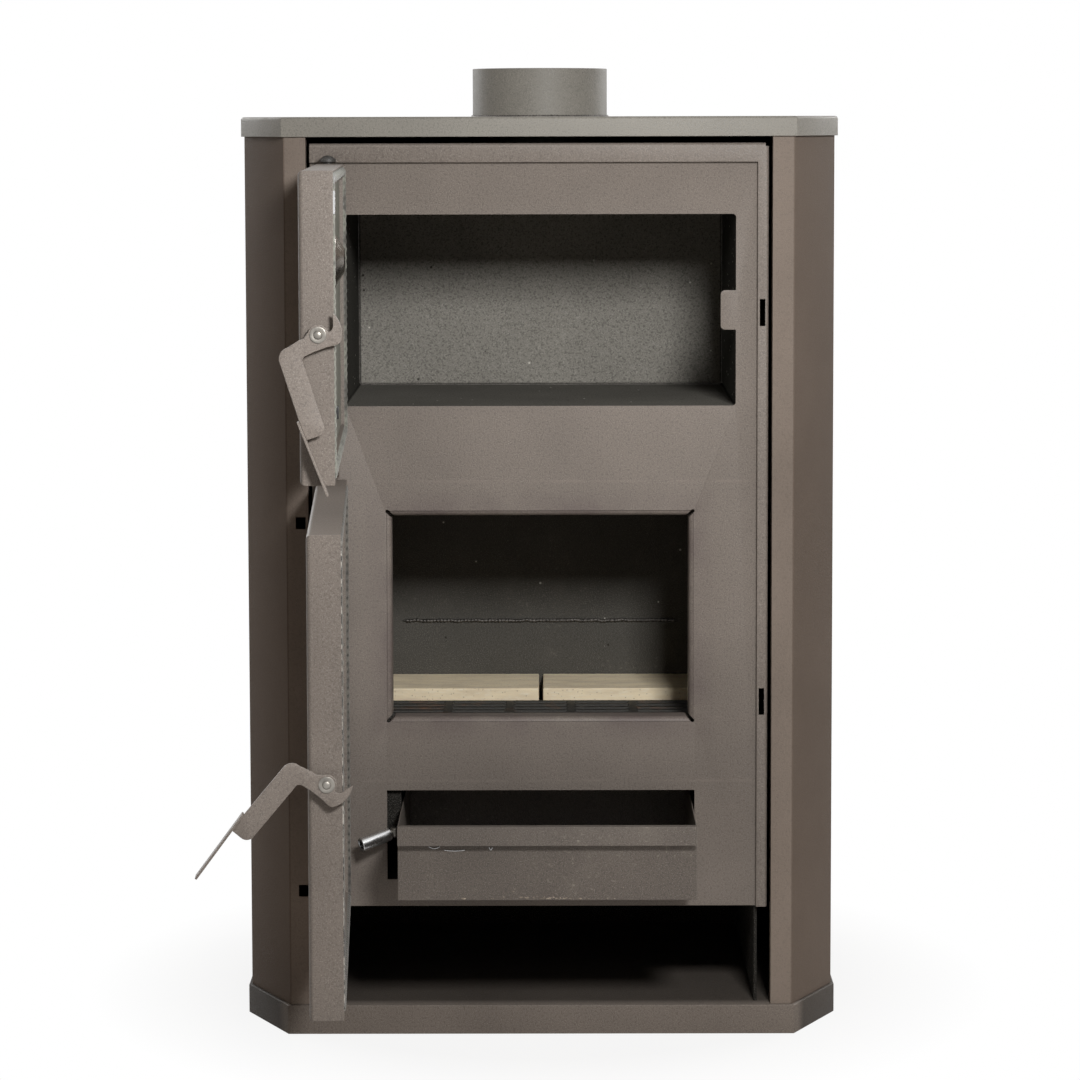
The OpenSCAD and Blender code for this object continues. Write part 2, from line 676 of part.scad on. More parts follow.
module grate_fork() color("#3a3835")
    for (sx = [-1, 1])
        box([-rod_x + sx * (fork_in + fork_t / 2) - fork_t / 2,
                rod_back - crank_d / 2 - fork_d / 2, floor_z - fork_h],
            [-rod_x + sx * (fork_in + fork_t / 2) + fork_t / 2,
                rod_back - crank_d / 2 + fork_d / 2, floor_z + play]);

// Hinges
module lug(z, y1) translate([0, 0, z]) linear_extrude(lug_t) difference() {
    union() {
        translate([hinge_x, hinge_y]) circle(r = lug_r);
        flat([hinge_x - lug_r, hinge_y], [hinge_x + lug_r, y1]);
    }
    translate([hinge_x, hinge_y]) circle(r = pin_r + pin_clear);
}
module upper_top_lug() color("#3a3835") lug(upper_z1 + lug_gap, rim_y);
module upper_bottom_lug() color("#3a3835") lug(upper_z0 - lug_gap - lug_t, plate_y0);
module lower_top_lug() color("#3a3835") lug(lower_z1 + lug_gap, plate_y0);
module lower_bottom_lug() color("#3a3835") lug(lower_z0 - lug_gap - lug_t, plate_y0);
module pin(z, up) translate([hinge_x, hinge_y, z]) rotate([up ? 0 : 180, 0, 0]) {
    translate([0, 0, -lug_t - lug_gap - pin_reach])
        cylinder(h = lug_t + lug_gap + pin_reach, r = pin_r);
    dome(pin_head_r, pin_head_h);
}
module upper_top_pin() color("#55524e") pin(upper_z1 + lug_gap + lug_t, true);
module upper_bottom_pin() color("#55524e") pin(upper_z0 - lug_gap - lug_t, false);
module lower_top_pin() color("#55524e") pin(lower_z1 + lug_gap + lug_t, true);
module lower_bottom_pin() color("#55524e") pin(lower_z0 - lug_gap - lug_t, false);

// Doors
module swing(a) translate([hinge_x, hinge_y, 0]) rotate([0, 0, -a])
    translate([-hinge_x, -hinge_y, 0]) children();
module front_round(a0, a1, y0, y1, r) {
    flat([a0, y0 + r], [a1, y1]);
    flat([a0 + r, y0], [a1 - r, y1]);
    for (a = [a0 + r, a1 - r]) translate([a, y0 + r]) circle(r = r);
}
module pan_solid(d, z0, z1, y1) intersection() {
    translate([0, 0, z0 + d]) linear_extrude(z1 - z0 - 2 * d)
        front_round(-door_half + d, door_half - d, door_y0 + d, y1, door_edge_r - d);
    translate([door_half - d, 0, 0]) rotate([0, -90, 0]) linear_extrude(2 * (door_half - d))
        front_round(z0 + d, z1 - d, door_y0 + d, y1, door_edge_r - d);
}
module door_pan(z0, z1, pz) difference() {
    pan_solid(0, z0, z1, door_y1);
    pan_solid(door_sheet, z0, z1, door_y1 + eps);
    translate([hinge_x, hinge_y, z0 - eps]) cylinder(h = z1 - z0 + 2 * eps, r = pin_r + pin_clear);
    translate([0, pivot_y, pz]) tube_x(bolt_r + pin_clear, door_half - 2 * door_sheet, door_half + eps);
}
module ring(d0, d1, y0, y1, z0, z1) difference() {
    box([-door_half + d0, y0, z0 + d0], [door_half - d0, y1, z1 - d0]);
    box([-door_half + d1, y0 - eps, z0 + d1], [door_half - d1, y1 + eps, z1 - d1]);
}
module rope_channel(z0, z1) difference() {
    ring(door_sheet, channel_in, channel_y, channel_lip, z0, z1);
    ring(door_sheet + lining_t, channel_in - lining_t, channel_y + lining_t, channel_lip + eps, z0, z1);
}
module rope(z0, z1) {
    h = z1 - z0 - 2 * rope_in;
    for (sx = [-1, 1]) translate([sx * (door_half - rope_in), rope_y, z0 + rope_in])
        cylinder(h = h, r = rope_r);
    for (z = [z0 + rope_in, z1 - rope_in]) {
        translate([0, rope_y, z]) tube_x(rope_r, -door_half + rope_in, door_half - rope_in);
        for (sx = [-1, 1]) translate([sx * (door_half - rope_in), rope_y, z]) sphere(r = rope_r);
    }
}
module pivot_bolt(pz) translate([0, pivot_y, pz]) {
    tube_x(bolt_r, door_half - door_sheet - rivet_h, lever_x + lever_t + play);
    tube_x(rivet_r, door_half - door_sheet - rivet_h, door_half - door_sheet);
    translate([lever_x + lever_t + play, 0, 0]) rotate([0, 90, 0]) dome(bush_r - clear, bolt_r);
}
module pivot_bush(pz) translate([0, pivot_y, pz]) difference() {
    tube_x(bush_r, door_half, lever_x - play);
    tube_x(bolt_r + pin_clear, door_half - eps, lever_x + eps);
}

// Latch levers
module hook_flat() difference() {
    union() {
        polygon(neck_shape);
        intersection() {
            translate(arc_c) circle(r = arc_r);
            polygon(hook_shape);
        }
    }
    rotate(-notch_turn) {
        translate(notch_c) circle(r = notch_r);
        flat([notch_c[0] - notch_r, notch_c[1]], [notch_c[0] + notch_r, notch_run]);
    }
}
module at_grip() translate([arm_l - grip_lap, -arm_w / 2]) rotate(grip_turn) children();
module arm_flat() translate(arm_start) rotate(arm_turn) difference() {
    union() {
        circle(r = arm_w / 2);
        flat([0, -arm_w / 2], [arm_l, arm_w / 2 - arm_end_r]);
        flat([0, -arm_w / 2], [arm_l - arm_end_r, arm_w / 2]);
        translate([arm_l - arm_end_r, arm_w / 2 - arm_end_r]) circle(r = arm_end_r);
    }
    at_grip() flat([0, -grip_t], [grip_l, 0]);
}
module lever(pz, a) along_x(lever_x, lever_x + lever_t) translate([pivot_y, pz]) rotate(a)
    difference() {
        union() {
            hook_flat();
            circle(r = hub_r);
            arm_flat();
        }
        circle(r = bolt_r + pin_clear);
    }
module grip(pz, a) along_x(grip_x, grip_x + grip_w) translate([pivot_y, pz]) rotate(a)
    translate(arm_start) rotate(arm_turn) at_grip() flat([0, -grip_t], [grip_l, 0]);

module upper_door_pan() color("#6b6258") swing(upper_door_angle) difference() {
    door_pan(upper_z0, upper_z1, upper_pivot_z);
    translate([0, 0, upper_z1 - gauge_drop]) tube_y(gauge_r + pin_clear, door_y0 - eps, door_y0 + 2 * eps);
}
module upper_rope_channel() color("#6b6258") swing(upper_door_angle) rope_channel(upper_z0, upper_z1);
module upper_rope() color("#8d8578") swing(upper_door_angle) rope(upper_z0, upper_z1);
module upper_lining() color("#5c554d") swing(upper_door_angle) difference() {
    box([-door_half + channel_in, lining_y, upper_z0 + channel_in],
        [door_half - channel_in, lining_y + lining_t, upper_z1 - channel_in]);
    translate([0, 0, upper_z1 - gauge_drop]) tube_y(gauge_stem + pin_clear, lining_y - eps, door_y1);
}
module at_gauge() swing(upper_door_angle) translate([0, 0, upper_z1 - gauge_drop]) children();
module thermometer_case() color("#b9bcc0") at_gauge() {
    difference() {
        union() {
            tube_y(gauge_r, gauge_y, door_y0 + gauge_d);
            tube_y(gauge_r + gauge_rim_w, gauge_y, door_y0);
        }
        tube_y(gauge_r - gauge_wall, gauge_y - eps, door_y0 + gauge_d - gauge_wall);
    }
    tube_y(gauge_stem, door_y0 + gauge_d - gauge_wall, lining_y + lining_t);
}
module thermometer_dial() color("#e8e6e0") at_gauge()
    tube_y(gauge_r - gauge_wall - pin_clear, door_y0 + gauge_d - gauge_wall - dial_t,
        door_y0 + gauge_d - gauge_wall);
module thermometer_pointer() color("#1c1c1c") at_gauge() translate([0, door_y0 + gauge_d - gauge_wall, 0]) {
    tube_y(gauge_stem / 2, -3 * dial_t, -dial_t);
    rotate([0, notch_turn, 0]) box([-dial_t / 2, -2.5 * dial_t, 0],
        [dial_t / 2, -2 * dial_t, gauge_r * 0.7]);
}
module thermometer_glass() color("#dfe6ea") at_gauge()
    tube_y(gauge_r - gauge_wall - pin_clear, gauge_y + gauge_rim_h / 2, gauge_y + gauge_rim_h / 2 + glass_t);
module thermometer_back() color("#c9ccd0") at_gauge() translate([0, lining_y + lining_t, 0])
    rotate([-90, 0, 0]) cylinder(h = dish_h, r1 = dish_r, r2 = dish_r / 2);
module upper_pivot_bolt() color("#77736d") swing(upper_door_angle) pivot_bolt(upper_pivot_z);
module upper_pivot_bush() color("#6a665f") swing(upper_door_angle) pivot_bush(upper_pivot_z);
module upper_latch_lever() color("#5f574e") swing(upper_door_angle) lever(upper_pivot_z, upper_lever_angle);
module upper_latch_grip() color("#5f574e") swing(upper_door_angle) grip(upper_pivot_z, upper_lever_angle);

module lower_door_pan() color("#6b6258") swing(lower_door_angle) door_pan(lower_z0, lower_z1, lower_pivot_z);
module lower_rope_channel() color("#6b6258") swing(lower_door_angle) rope_channel(lower_z0, lower_z1);
module lower_rope() color("#8d8578") swing(lower_door_angle) rope(lower_z0, lower_z1);
module lower_lining() color("#5c554d") swing(lower_door_angle)
    box([-door_half + channel_in, lining_y, floor_z],
        [door_half - channel_in, lining_y + lining_t, lower_z1 - channel_in]);
module lower_pivot_bolt() color("#77736d") swing(lower_door_angle) pivot_bolt(lower_pivot_z);
module lower_pivot_bush() color("#6a665f") swing(lower_door_angle) pivot_bush(lower_pivot_z);
module lower_latch_lever() color("#5f574e") swing(lower_door_angle) lever(lower_pivot_z, lower_lever_angle);
module lower_latch_grip() color("#5f574e") swing(lower_door_angle) grip(lower_pivot_z, lower_lever_angle);
plinth();
left_side_panel();
right_side_panel();
rear_panel();
top_plate();
flue_collar();
flue_throat();
front_plate();
inner_shell();
shell_top();
ash_floor();
firebox_floor();
water_jacket();
flow_socket();
return_socket();
oven_box();
flue_baffle();
left_brick();
right_brick();
left_runner();
right_runner();
rod_bearing();
upper_top_lug();
upper_bottom_lug();
lower_top_lug();
lower_bottom_lug();
upper_top_pin();
upper_bottom_pin();
lower_top_pin();
lower_bottom_pin();
panel_screws();
ash_drawer();
riddling_shaft();
riddling_sleeve();
grate();
grate_fork();
upper_door_pan();
upper_rope_channel();
upper_rope();
upper_lining();
thermometer_case();
thermometer_dial();
thermometer_pointer();
thermometer_glass();
thermometer_back();
upper_pivot_bolt();
upper_pivot_bush();
upper_latch_lever();
upper_latch_grip();
lower_door_pan();
lower_rope_channel();
lower_rope();
lower_lining();
lower_pivot_bolt();
lower_pivot_bush();
lower_latch_lever();
lower_latch_grip();
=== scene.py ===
import bisect
import json
import math

import bmesh
import bpy
from bpy.props import FloatProperty, FloatVectorProperty, IntProperty, PointerProperty
from bpy.types import Operator, Panel, PropertyGroup
from mathutils import Matrix, Vector
from mathutils.noise import noise as hash_noise

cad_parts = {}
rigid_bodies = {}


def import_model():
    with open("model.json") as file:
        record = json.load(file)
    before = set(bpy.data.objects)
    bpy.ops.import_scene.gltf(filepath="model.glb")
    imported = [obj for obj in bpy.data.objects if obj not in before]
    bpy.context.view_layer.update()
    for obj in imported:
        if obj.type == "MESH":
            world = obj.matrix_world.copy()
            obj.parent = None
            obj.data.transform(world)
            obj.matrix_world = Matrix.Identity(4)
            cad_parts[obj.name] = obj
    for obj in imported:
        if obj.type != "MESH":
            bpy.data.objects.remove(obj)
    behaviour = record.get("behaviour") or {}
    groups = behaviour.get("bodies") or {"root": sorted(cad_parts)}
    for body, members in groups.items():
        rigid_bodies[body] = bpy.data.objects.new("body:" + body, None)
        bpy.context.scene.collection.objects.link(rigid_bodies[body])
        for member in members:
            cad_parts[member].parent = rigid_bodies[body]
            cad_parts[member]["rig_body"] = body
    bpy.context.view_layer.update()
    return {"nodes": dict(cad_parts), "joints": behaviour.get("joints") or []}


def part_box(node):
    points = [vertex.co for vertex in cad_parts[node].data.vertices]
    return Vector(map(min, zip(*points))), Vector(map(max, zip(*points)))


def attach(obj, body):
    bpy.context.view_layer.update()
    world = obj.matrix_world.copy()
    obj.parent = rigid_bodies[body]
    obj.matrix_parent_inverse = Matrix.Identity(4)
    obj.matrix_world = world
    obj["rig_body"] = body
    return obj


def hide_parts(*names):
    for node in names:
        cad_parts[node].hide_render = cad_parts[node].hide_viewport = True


bl_info = {
    "name": "Wood-fired boiler stove",
    "version": (1, 0, 0),
    "blender": (4, 5, 0),
    "location": "View3D > Sidebar > Stove",
    "description": "Dresses the stove's frame with finishes, ropes, welds, a dial and a studio",
    "category": "Object",
}

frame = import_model()
NODES = frame["nodes"]
JOINTS = {j["name"]: j for j in frame["joints"]}


# ---------------------------------------------------------------- settings
class StoveFinish(PropertyGroup):
    coat: FloatVectorProperty(
        name="Coat", description="Colour of the sprayed coat on the front",
        subtype="COLOR", size=3, min=0, max=1, default=(0.205, 0.174, 0.150))
    top: FloatVectorProperty(
        name="Top coat", description="Colour of the coat on the top plate and collar",
        subtype="COLOR", size=3, min=0, max=1, default=(0.258, 0.243, 0.212))
    coat_dark: FloatVectorProperty(
        name="Dark coat", description="Colour of the coat on the side panels",
        subtype="COLOR", size=3, min=0, max=1, default=(0.128, 0.101, 0.083))
    inner: FloatVectorProperty(
        name="Inner steel", description="Colour of the steel inside the oven",
        subtype="COLOR", size=3, min=0, max=1, default=(0.255, 0.242, 0.214))
    brick: FloatVectorProperty(
        name="Fire brick", description="Colour of the fire bricks",
        subtype="COLOR", size=3, min=0, max=1, default=(0.94, 0.78, 0.55))
    grain: FloatProperty(
        name="Grain", description="Size of the grain in the coat",
        unit="LENGTH", default=0.0010, min=0.0004, max=0.01)
    edge: FloatProperty(
        name="Edge", description="Width of the rounding on folded and cut edges",
        unit="LENGTH", default=0.0004, min=0.0001, max=0.0006)


class StoveRope(PropertyGroup):
    radius: FloatProperty(
        name="Rope radius", description="Radius of the sealing rope",
        unit="LENGTH", default=0.0046, min=0.003, max=0.0047)
    inset: FloatProperty(
        name="Rope inset", description="Distance of the rope's middle from the door's edge",
        unit="LENGTH", default=0.0071, min=0.006, max=0.01)
    strand: FloatProperty(
        name="Strand pitch", description="Length of one braid of the sealing rope",
        unit="LENGTH", default=0.0075, min=0.004, max=0.02)
    facets: IntProperty(
        name="Facets", description="Number of facets round the sealing rope",
        default=16, min=12, max=24)


class StoveStudio(PropertyGroup):
    distance: FloatProperty(
        name="Camera distance", description="Distance of the camera in front of the casing",
        unit="LENGTH", default=2.927, min=1, max=6)
    height: FloatProperty(
        name="Camera height", description="Height of the camera above the floor",
        unit="LENGTH", default=0.8412, min=0, max=3)
    key: FloatProperty(
        name="Key lamp", description="Power of the small lamp in front",
        default=18.0, min=0, max=500)
    rear: FloatProperty(
        name="Rear lamps", description="Power of each of the two large lamps behind",
        default=38.0, min=0, max=500)
    world: FloatProperty(
        name="Room light", description="Strength of the even light of the room",
        default=0.10, min=0, max=3)


# ---------------------------------------------------------------- shader groups
def group(name, inputs, outputs):
    """A new shader group with its named sockets."""
    tree = bpy.data.node_groups.new(name, "ShaderNodeTree")
    for label, kind, value in inputs:
        socket = tree.interface.new_socket(name=label, in_out="INPUT", socket_type=kind)
        socket.default_value = value
    for label, kind in outputs:
        tree.interface.new_socket(name=label, in_out="OUTPUT", socket_type=kind)
    return tree, tree.nodes.new("NodeGroupInput"), tree.nodes.new("NodeGroupOutput")


FLOAT, COLOUR = "NodeSocketFloat", "NodeSocketColor"
GREY, WHITE = (0.2, 0.2, 0.2, 1), (1, 1, 1, 1)
PALE_GRAIN, DEEP_GRAIN = (0.62, 0.58, 0.53), (0.02, 0.018, 0.016)
CHIP, SPECK = (0.02, 0.018, 0.015), (0.75, 0.72, 0.64)
# the first two are painted shade: the near-black that shaded rows on a coat darken towards, and
# the shade at the front plate's foot
SHADE_BLACK, FOOT_SHADE, HEAT_TINT = (0.004, 0.004, 0.003), (0.01, 0.009, 0.008), (0.085, 0.058, 0.062)
GROG, RUST, PASTE_STAIN = (0.99, 0.92, 0.76), (0.16, 0.075, 0.035), (0.06, 0.054, 0.048)
BRIGHTEST = 0.99


def times(colour, factor):
    """The colour made lighter or darker, but never brighter than white paint."""
    return tuple(min(BRIGHTEST, factor * c) for c in colour)


def add(tree, kind, links=(), **values):
    """A node whose sockets take the given links and values."""
    node = tree.nodes.new(kind)
    for key, value in values.items():
        if key.startswith("in_"):
            node.inputs[key[3:].replace("_", " ")].default_value = value
        else:
            setattr(node, key, value)
    for socket, source in links:
        tree.links.new(source, node.inputs[socket])
    return node


def put(tree, socket, source):
    """Gives a socket a link, a colour or a number."""
    if isinstance(source, bpy.types.NodeSocket):
        tree.links.new(source, socket)
    else:
        socket.default_value = (*source[:3], 1) if isinstance(source, tuple) else source


def object_place(tree):
    """Where a point lies on its own object."""
    return add(tree, "ShaderNodeTexCoord").outputs["Object"]


def scaled(tree, vector, factor):
    """The vector times a factor on each axis."""
    return add(tree, "ShaderNodeMapping", [("Vector", vector)],
               in_Scale=factor).outputs["Vector"]


def ramp(tree, source, low, high, a=0.0, b=1.0):
    """source from low..high to a..b, held at its ends."""
    return add(tree, "ShaderNodeMapRange", [("Value", source)], clamp=True, in_From_Min=low,
               in_From_Max=high, in_To_Min=a, in_To_Max=b).outputs["Result"]


def mix(tree, mask, one, two, blend="MIX"):
    """Colour one and colour two by a mask."""
    node = add(tree, "ShaderNodeMix", data_type="RGBA", blend_type=blend)
    for index, source in ((0, mask), (6, one), (7, two)):
        put(tree, node.inputs[index], source)
    return node.outputs[2]


def math_node(tree, operation, *sources):
    """One arithmetic step."""
    node = add(tree, "ShaderNodeMath", operation=operation)
    for socket, source in zip(node.inputs, sources):
        put(tree, socket, source)
    return node.outputs[0]


def product(tree, value, *factors):
    """The value times each factor."""
    for factor in factors:
        value = math_node(tree, "MULTIPLY", value, factor)
    return value


def noise(tree, vector, scale, detail=2.0, rough=0.5):
    """Soft noise; its scale is a number or a socket."""
    node = add(tree, "ShaderNodeTexNoise", [("Vector", vector)],
               in_Detail=detail, in_Roughness=rough)
    put(tree, node.inputs["Scale"], scale)
    return node.outputs["Fac"]


def grain_group():
    """Sprayed coat: fine light and dark grain, slow clouding and a small relief."""
    tree, gin, gout = group(
        "Coat grain",
        [("Colour", COLOUR, GREY), ("Scale", FLOAT, 600.0),
         ("Grain", FLOAT, 0.35), ("Cloud", FLOAT, 0.3)],
        [("Colour", COLOUR), ("Roughness", FLOAT), ("Height", FLOAT)])
    place, scale, grain = object_place(tree), gin.outputs["Scale"], gin.outputs["Grain"]
    fine = noise(tree, place, scale, 3.0, 0.65)
    coarse = noise(tree, place, product(tree, scale, 0.5))
    cloud = noise(tree, place, 5.5, 4.0, 0.55)
    light = product(tree, ramp(tree, fine, 0.52, 0.72), grain)
    dark = product(tree, ramp(tree, coarse, 0.5, 0.32), grain)
    pale = mix(tree, light, gin.outputs["Colour"], PALE_GRAIN)
    deep = mix(tree, dark, pale, DEEP_GRAIN)
    shade = mix(tree, 1.0, deep, ramp(tree, cloud, 0.3, 0.7, 0.82, 1.18), "MULTIPLY")
    tree.links.new(mix(tree, gin.outputs["Cloud"], deep, shade), gout.inputs["Colour"])
    tree.links.new(ramp(tree, coarse, 0.3, 0.7), gout.inputs["Roughness"])
    tree.links.new(math_node(tree, "ADD", fine, coarse), gout.inputs["Height"])
    return tree


def wear_group():
    """Handling marks: scattered fine scratches in rubbed patches."""
    tree, gin, gout = group(
        "Rubbed marks",
        [("Colour", COLOUR, GREY), ("Mark Colour", COLOUR, (0.45, 0.42, 0.38, 1)),
         ("Amount", FLOAT, 0.3)],
        [("Colour", COLOUR)])
    place = object_place(tree)
    level = scaled(tree, place, (18.0, 18.0, 260.0))
    upright = scaled(tree, place, (240.0, 240.0, 14.0))
    both = math_node(tree, "MAXIMUM", ramp(tree, noise(tree, level, 1.0, 3.0, 0.7), 0.66, 0.78),
                     ramp(tree, noise(tree, upright, 1.0, 3.0, 0.7), 0.68, 0.80))
    patch = ramp(tree, noise(tree, place, 14.0, 3.0, 0.6), 0.52, 0.66)
    mask = product(tree, both, patch, gin.outputs["Amount"])
    tree.links.new(mix(tree, mask, gin.outputs["Colour"], gin.outputs["Mark Colour"]),
                   gout.inputs["Colour"])
    return tree


def dust_group():
    """Pale dust: small spots and haze that gather in patches."""
    tree, gin, gout = group(
        "Settled dust",
        [("Colour", COLOUR, GREY), ("Dust Colour", COLOUR, (0.42, 0.38, 0.32, 1)),
         ("Amount", FLOAT, 0.3)],
        [("Colour", COLOUR)])
    place = object_place(tree)
    spots = ramp(tree, noise(tree, place, 260.0), 0.62, 0.72)
    patch = ramp(tree, noise(tree, place, 9.0, 4.0, 0.6), 0.45, 0.7)
    haze = ramp(tree, noise(tree, place, 30.0, 4.0, 0.6), 0.45, 0.85, 0.0, 0.5)
    mask = product(tree, math_node(tree, "MAXIMUM", spots, haze), patch, gin.outputs["Amount"])
    tree.links.new(mix(tree, mask, gin.outputs["Colour"], gin.outputs["Dust Colour"]),
                   gout.inputs["Colour"])
    return tree


def chip_group():
    """Sparse dark chips and pale specks."""
    tree, gin, gout = group(
        "Chips and specks", [("Colour", COLOUR, GREY), ("Amount", FLOAT, 0.5)],
        [("Colour", COLOUR)])
    place = object_place(tree)
    out = gin.outputs["Colour"]
    for scale, shift, tone in ((75.0, 0.0, CHIP), (95.0, 3.0, SPECK)):
        moved = add(tree, "ShaderNodeMapping", [("Vector", place)], in_Location=(shift,) * 3)
        cells = add(tree, "ShaderNodeTexVoronoi", [("Vector", moved.outputs["Vector"])],
                    in_Scale=scale)
        small = ramp(tree, cells.outputs["Distance"], 0.12, 0.07)
        few = ramp(tree, add(tree, "ShaderNodeSeparateColor",
                             [("Color", cells.outputs["Color"])]).outputs[0], 0.90, 0.92)
        out = mix(tree, product(tree, small, few, gin.outputs["Amount"]), out, tone)
    tree.links.new(out, gout.inputs["Colour"])
    return tree


def use(tree, effect, **values):
    """A shared group placed in a material."""
    node = tree.nodes.new("ShaderNodeGroup")
    node.node_tree = effect
    for key, value in values.items():
        put(tree, node.inputs[key.replace("_", " ")], value)
    return node


SHARED = {}


def shared(name, make):
    """The shared group of that name, made once."""
    if name not in SHARED:
        SHARED[name] = make()
    return SHARED[name]


def new_material(name, **constants):
    """An empty material, its tree, its shader with the given constants, and Object places."""
    material = bpy.data.materials.new(name)
    material.use_nodes = True
    tree = material.node_tree
    shader = tree.nodes["Principled BSDF"]
    for key, value in constants.items():
        shader.inputs[key.replace("_", " ")].default_value = value
    return material, tree, shader, object_place(tree)


def relief(tree, shader, height, strength, distance):
    """Feeds the shader's normal from a height."""
    bump = add(tree, "ShaderNodeBump", [("Height", height)],
               in_Strength=strength, in_Distance=distance)
    tree.links.new(bump.outputs["Normal"], shader.inputs["Normal"])


def feed(tree, shader, tone, roughness=None):
    """Feeds the shader's colour and, where it varies, its roughness."""
    tree.links.new(tone, shader.inputs["Base Color"])
    if roughness is not None:
        tree.links.new(roughness, shader.inputs["Roughness"])


def coat_shader(name, colour, grain=0.24, cloud=0.7, wear=0.2, dust=0.12, gloss=0.35,
                satin=0.42):
    """Sprayed heat-proof coat: the material, its tree, shader, Object places and colour."""
    material, tree, shader, place = new_material(name, Specular_IOR_Level=gloss)
    base = use(tree, shared("grain", grain_group), Colour=tuple(colour),
               Scale=1 / bpy.context.scene.stove_finish.grain, Grain=grain, Cloud=cloud)
    worn = use(tree, shared("wear", wear_group), Colour=base.outputs["Colour"],
               Mark_Colour=times(colour, 2.2), Amount=wear)
    dusty = use(tree, shared("dust", dust_group), Colour=worn.outputs["Colour"], Amount=dust)
    tree.links.new(ramp(tree, base.outputs["Roughness"], 0.0, 1.0, satin, min(1.0, satin + 0.2)),
                   shader.inputs["Roughness"])
    relief(tree, shader, base.outputs["Height"], 0.25, 0.0006)
    return material, tree, shader, place, dusty.outputs["Colour"]


def coat(name, colour, painted_shade=(), chips=0.0, **kinds):
    """Sprayed coat with painted shade; its rows are (axis, where unshaded, where fully shaded,
    share of colour left, tint).
    """
    material, tree, shader, place, tone = coat_shader(name, colour, **kinds)
    axes = add(tree, "ShaderNodeSeparateXYZ", [("Vector", place)]).outputs
    # painted shade: each row mixes the coat towards its tint beyond a place on one axis
    for axis, unshaded, full_shade, share, *tint in painted_shade:
        tone = mix(tree, ramp(tree, axes[axis], unshaded, full_shade, 0.0, 1 - share), tone,
                   tuple(tint) or SHADE_BLACK)
    if chips:
        tone = use(tree, shared("chips", chip_group), Colour=tone, Amount=chips).outputs["Colour"]
    feed(tree, shader, tone)
    return material


def band(tree, value, middle, half, soft):
    """1 within half of the middle, falling to 0 over soft."""
    away = math_node(tree, "ABSOLUTE", math_node(tree, "SUBTRACT", value, middle))
    return ramp(tree, away, half + soft, half)


def plate_coat(name, colour):
    """The front plate's coat: ground seams, painted shade towards the foot and heat tint round the
    firebox.
    """
    material, tree, shader, place, tone = coat_shader(name, colour, wear=0.3)
    axes = add(tree, "ShaderNodeSeparateXYZ", [("Vector", place)]).outputs
    broken = ramp(tree, noise(tree, place, 40.0, 3.0, 0.6), 0.35, 0.62)
    for height in SEAM_HEIGHTS:
        seam = band(tree, axes["Z"], height, 0.0006, 0.0012)
        tone = mix(tree, product(tree, seam, broken, 0.28), tone, times(colour, 1.5))
    # painted shade: the plate darkens towards its foot
    tone = mix(tree, ramp(tree, axes["Z"], 0.13, 0.42, 0.17, 0.0), tone, FOOT_SHADE)
    across = math_node(tree, "SUBTRACT", math_node(tree, "ABSOLUTE", axes["X"]), FIRE_HALF)
    above = math_node(tree, "ABSOLUTE", math_node(tree, "SUBTRACT", axes["Z"], FIRE_MIDDLE))
    away = math_node(tree, "MAXIMUM", across, math_node(tree, "SUBTRACT", above, FIRE_RISE))
    heat = product(tree, ramp(tree, away, 0.026, 0.002, 0.0, 0.42),
                   ramp(tree, noise(tree, place, 26.0, 3.0), 0.3, 0.6))
    feed(tree, shader, mix(tree, heat, tone, HEAT_TINT))
    return material


def brick(name, colour):
    """Pressed fire clay: pores, pale grog and sandy relief."""
    material, tree, shader, place = new_material(name, Roughness=0.92)
    grit = noise(tree, scaled(tree, place, (0.25, 1.0, 1.0)), 420.0, 4.0, 0.7)
    blotch = noise(tree, scaled(tree, place, (0.3, 1.0, 1.0)), 60.0, 4.0, 0.6)
    cells = add(tree, "ShaderNodeTexVoronoi", [("Vector", place)], in_Scale=260.0)
    pores = ramp(tree, cells.outputs["Distance"], 0.10, 0.20)
    tone = mix(tree, ramp(tree, blotch, 0.35, 0.6), times(colour, 0.86), times(colour, 1.08))
    sand = mix(tree, ramp(tree, grit, 0.5, 0.75, 0.0, 0.6), tone, GROG)
    feed(tree, shader, mix(tree, pores, times(colour, 0.7), sand))
    relief(tree, shader, math_node(tree, "ADD", grit, pores), 0.5, 0.0008)
    return material


def cast(name, colour):
    """Sand-cast iron: pebbled skin with rusty tints."""
    material, tree, shader, place = new_material(name, Metallic=0.55)
    pebble = noise(tree, place, 330.0, 3.0, 0.6)
    rust = ramp(tree, noise(tree, place, 26.0, 4.0, 0.6), 0.56, 0.74, 0.0, 0.6)
    base = mix(tree, ramp(tree, pebble, 0.35, 0.7), times(colour, 0.6), times(colour, 1.5))
    feed(tree, shader, mix(tree, rust, base, RUST), ramp(tree, pebble, 0.3, 0.7, 0.55, 0.8))
    relief(tree, shader, pebble, 0.6, 0.0008)
    return material


def plated(name, colour, rough=0.18):
    """Bright plated steel with drawing lines and fingerprints."""
    material, tree, shader, place = new_material(name, Metallic=1.0)
    lines = noise(tree, scaled(tree, place, (90.0, 90.0, 1500.0)), 1.0, 2.0, 0.6)
    film = noise(tree, place, 60.0, 3.0, 0.6)
    tone = mix(tree, ramp(tree, film, 0.4, 0.75, 0.0, 0.5), colour, times(colour, 0.6))
    feed(tree, shader, tone, ramp(tree, film, 0.3, 0.75, rough, rough + 0.22))
    relief(tree, shader, lines, 0.12, 0.0002)
    return material


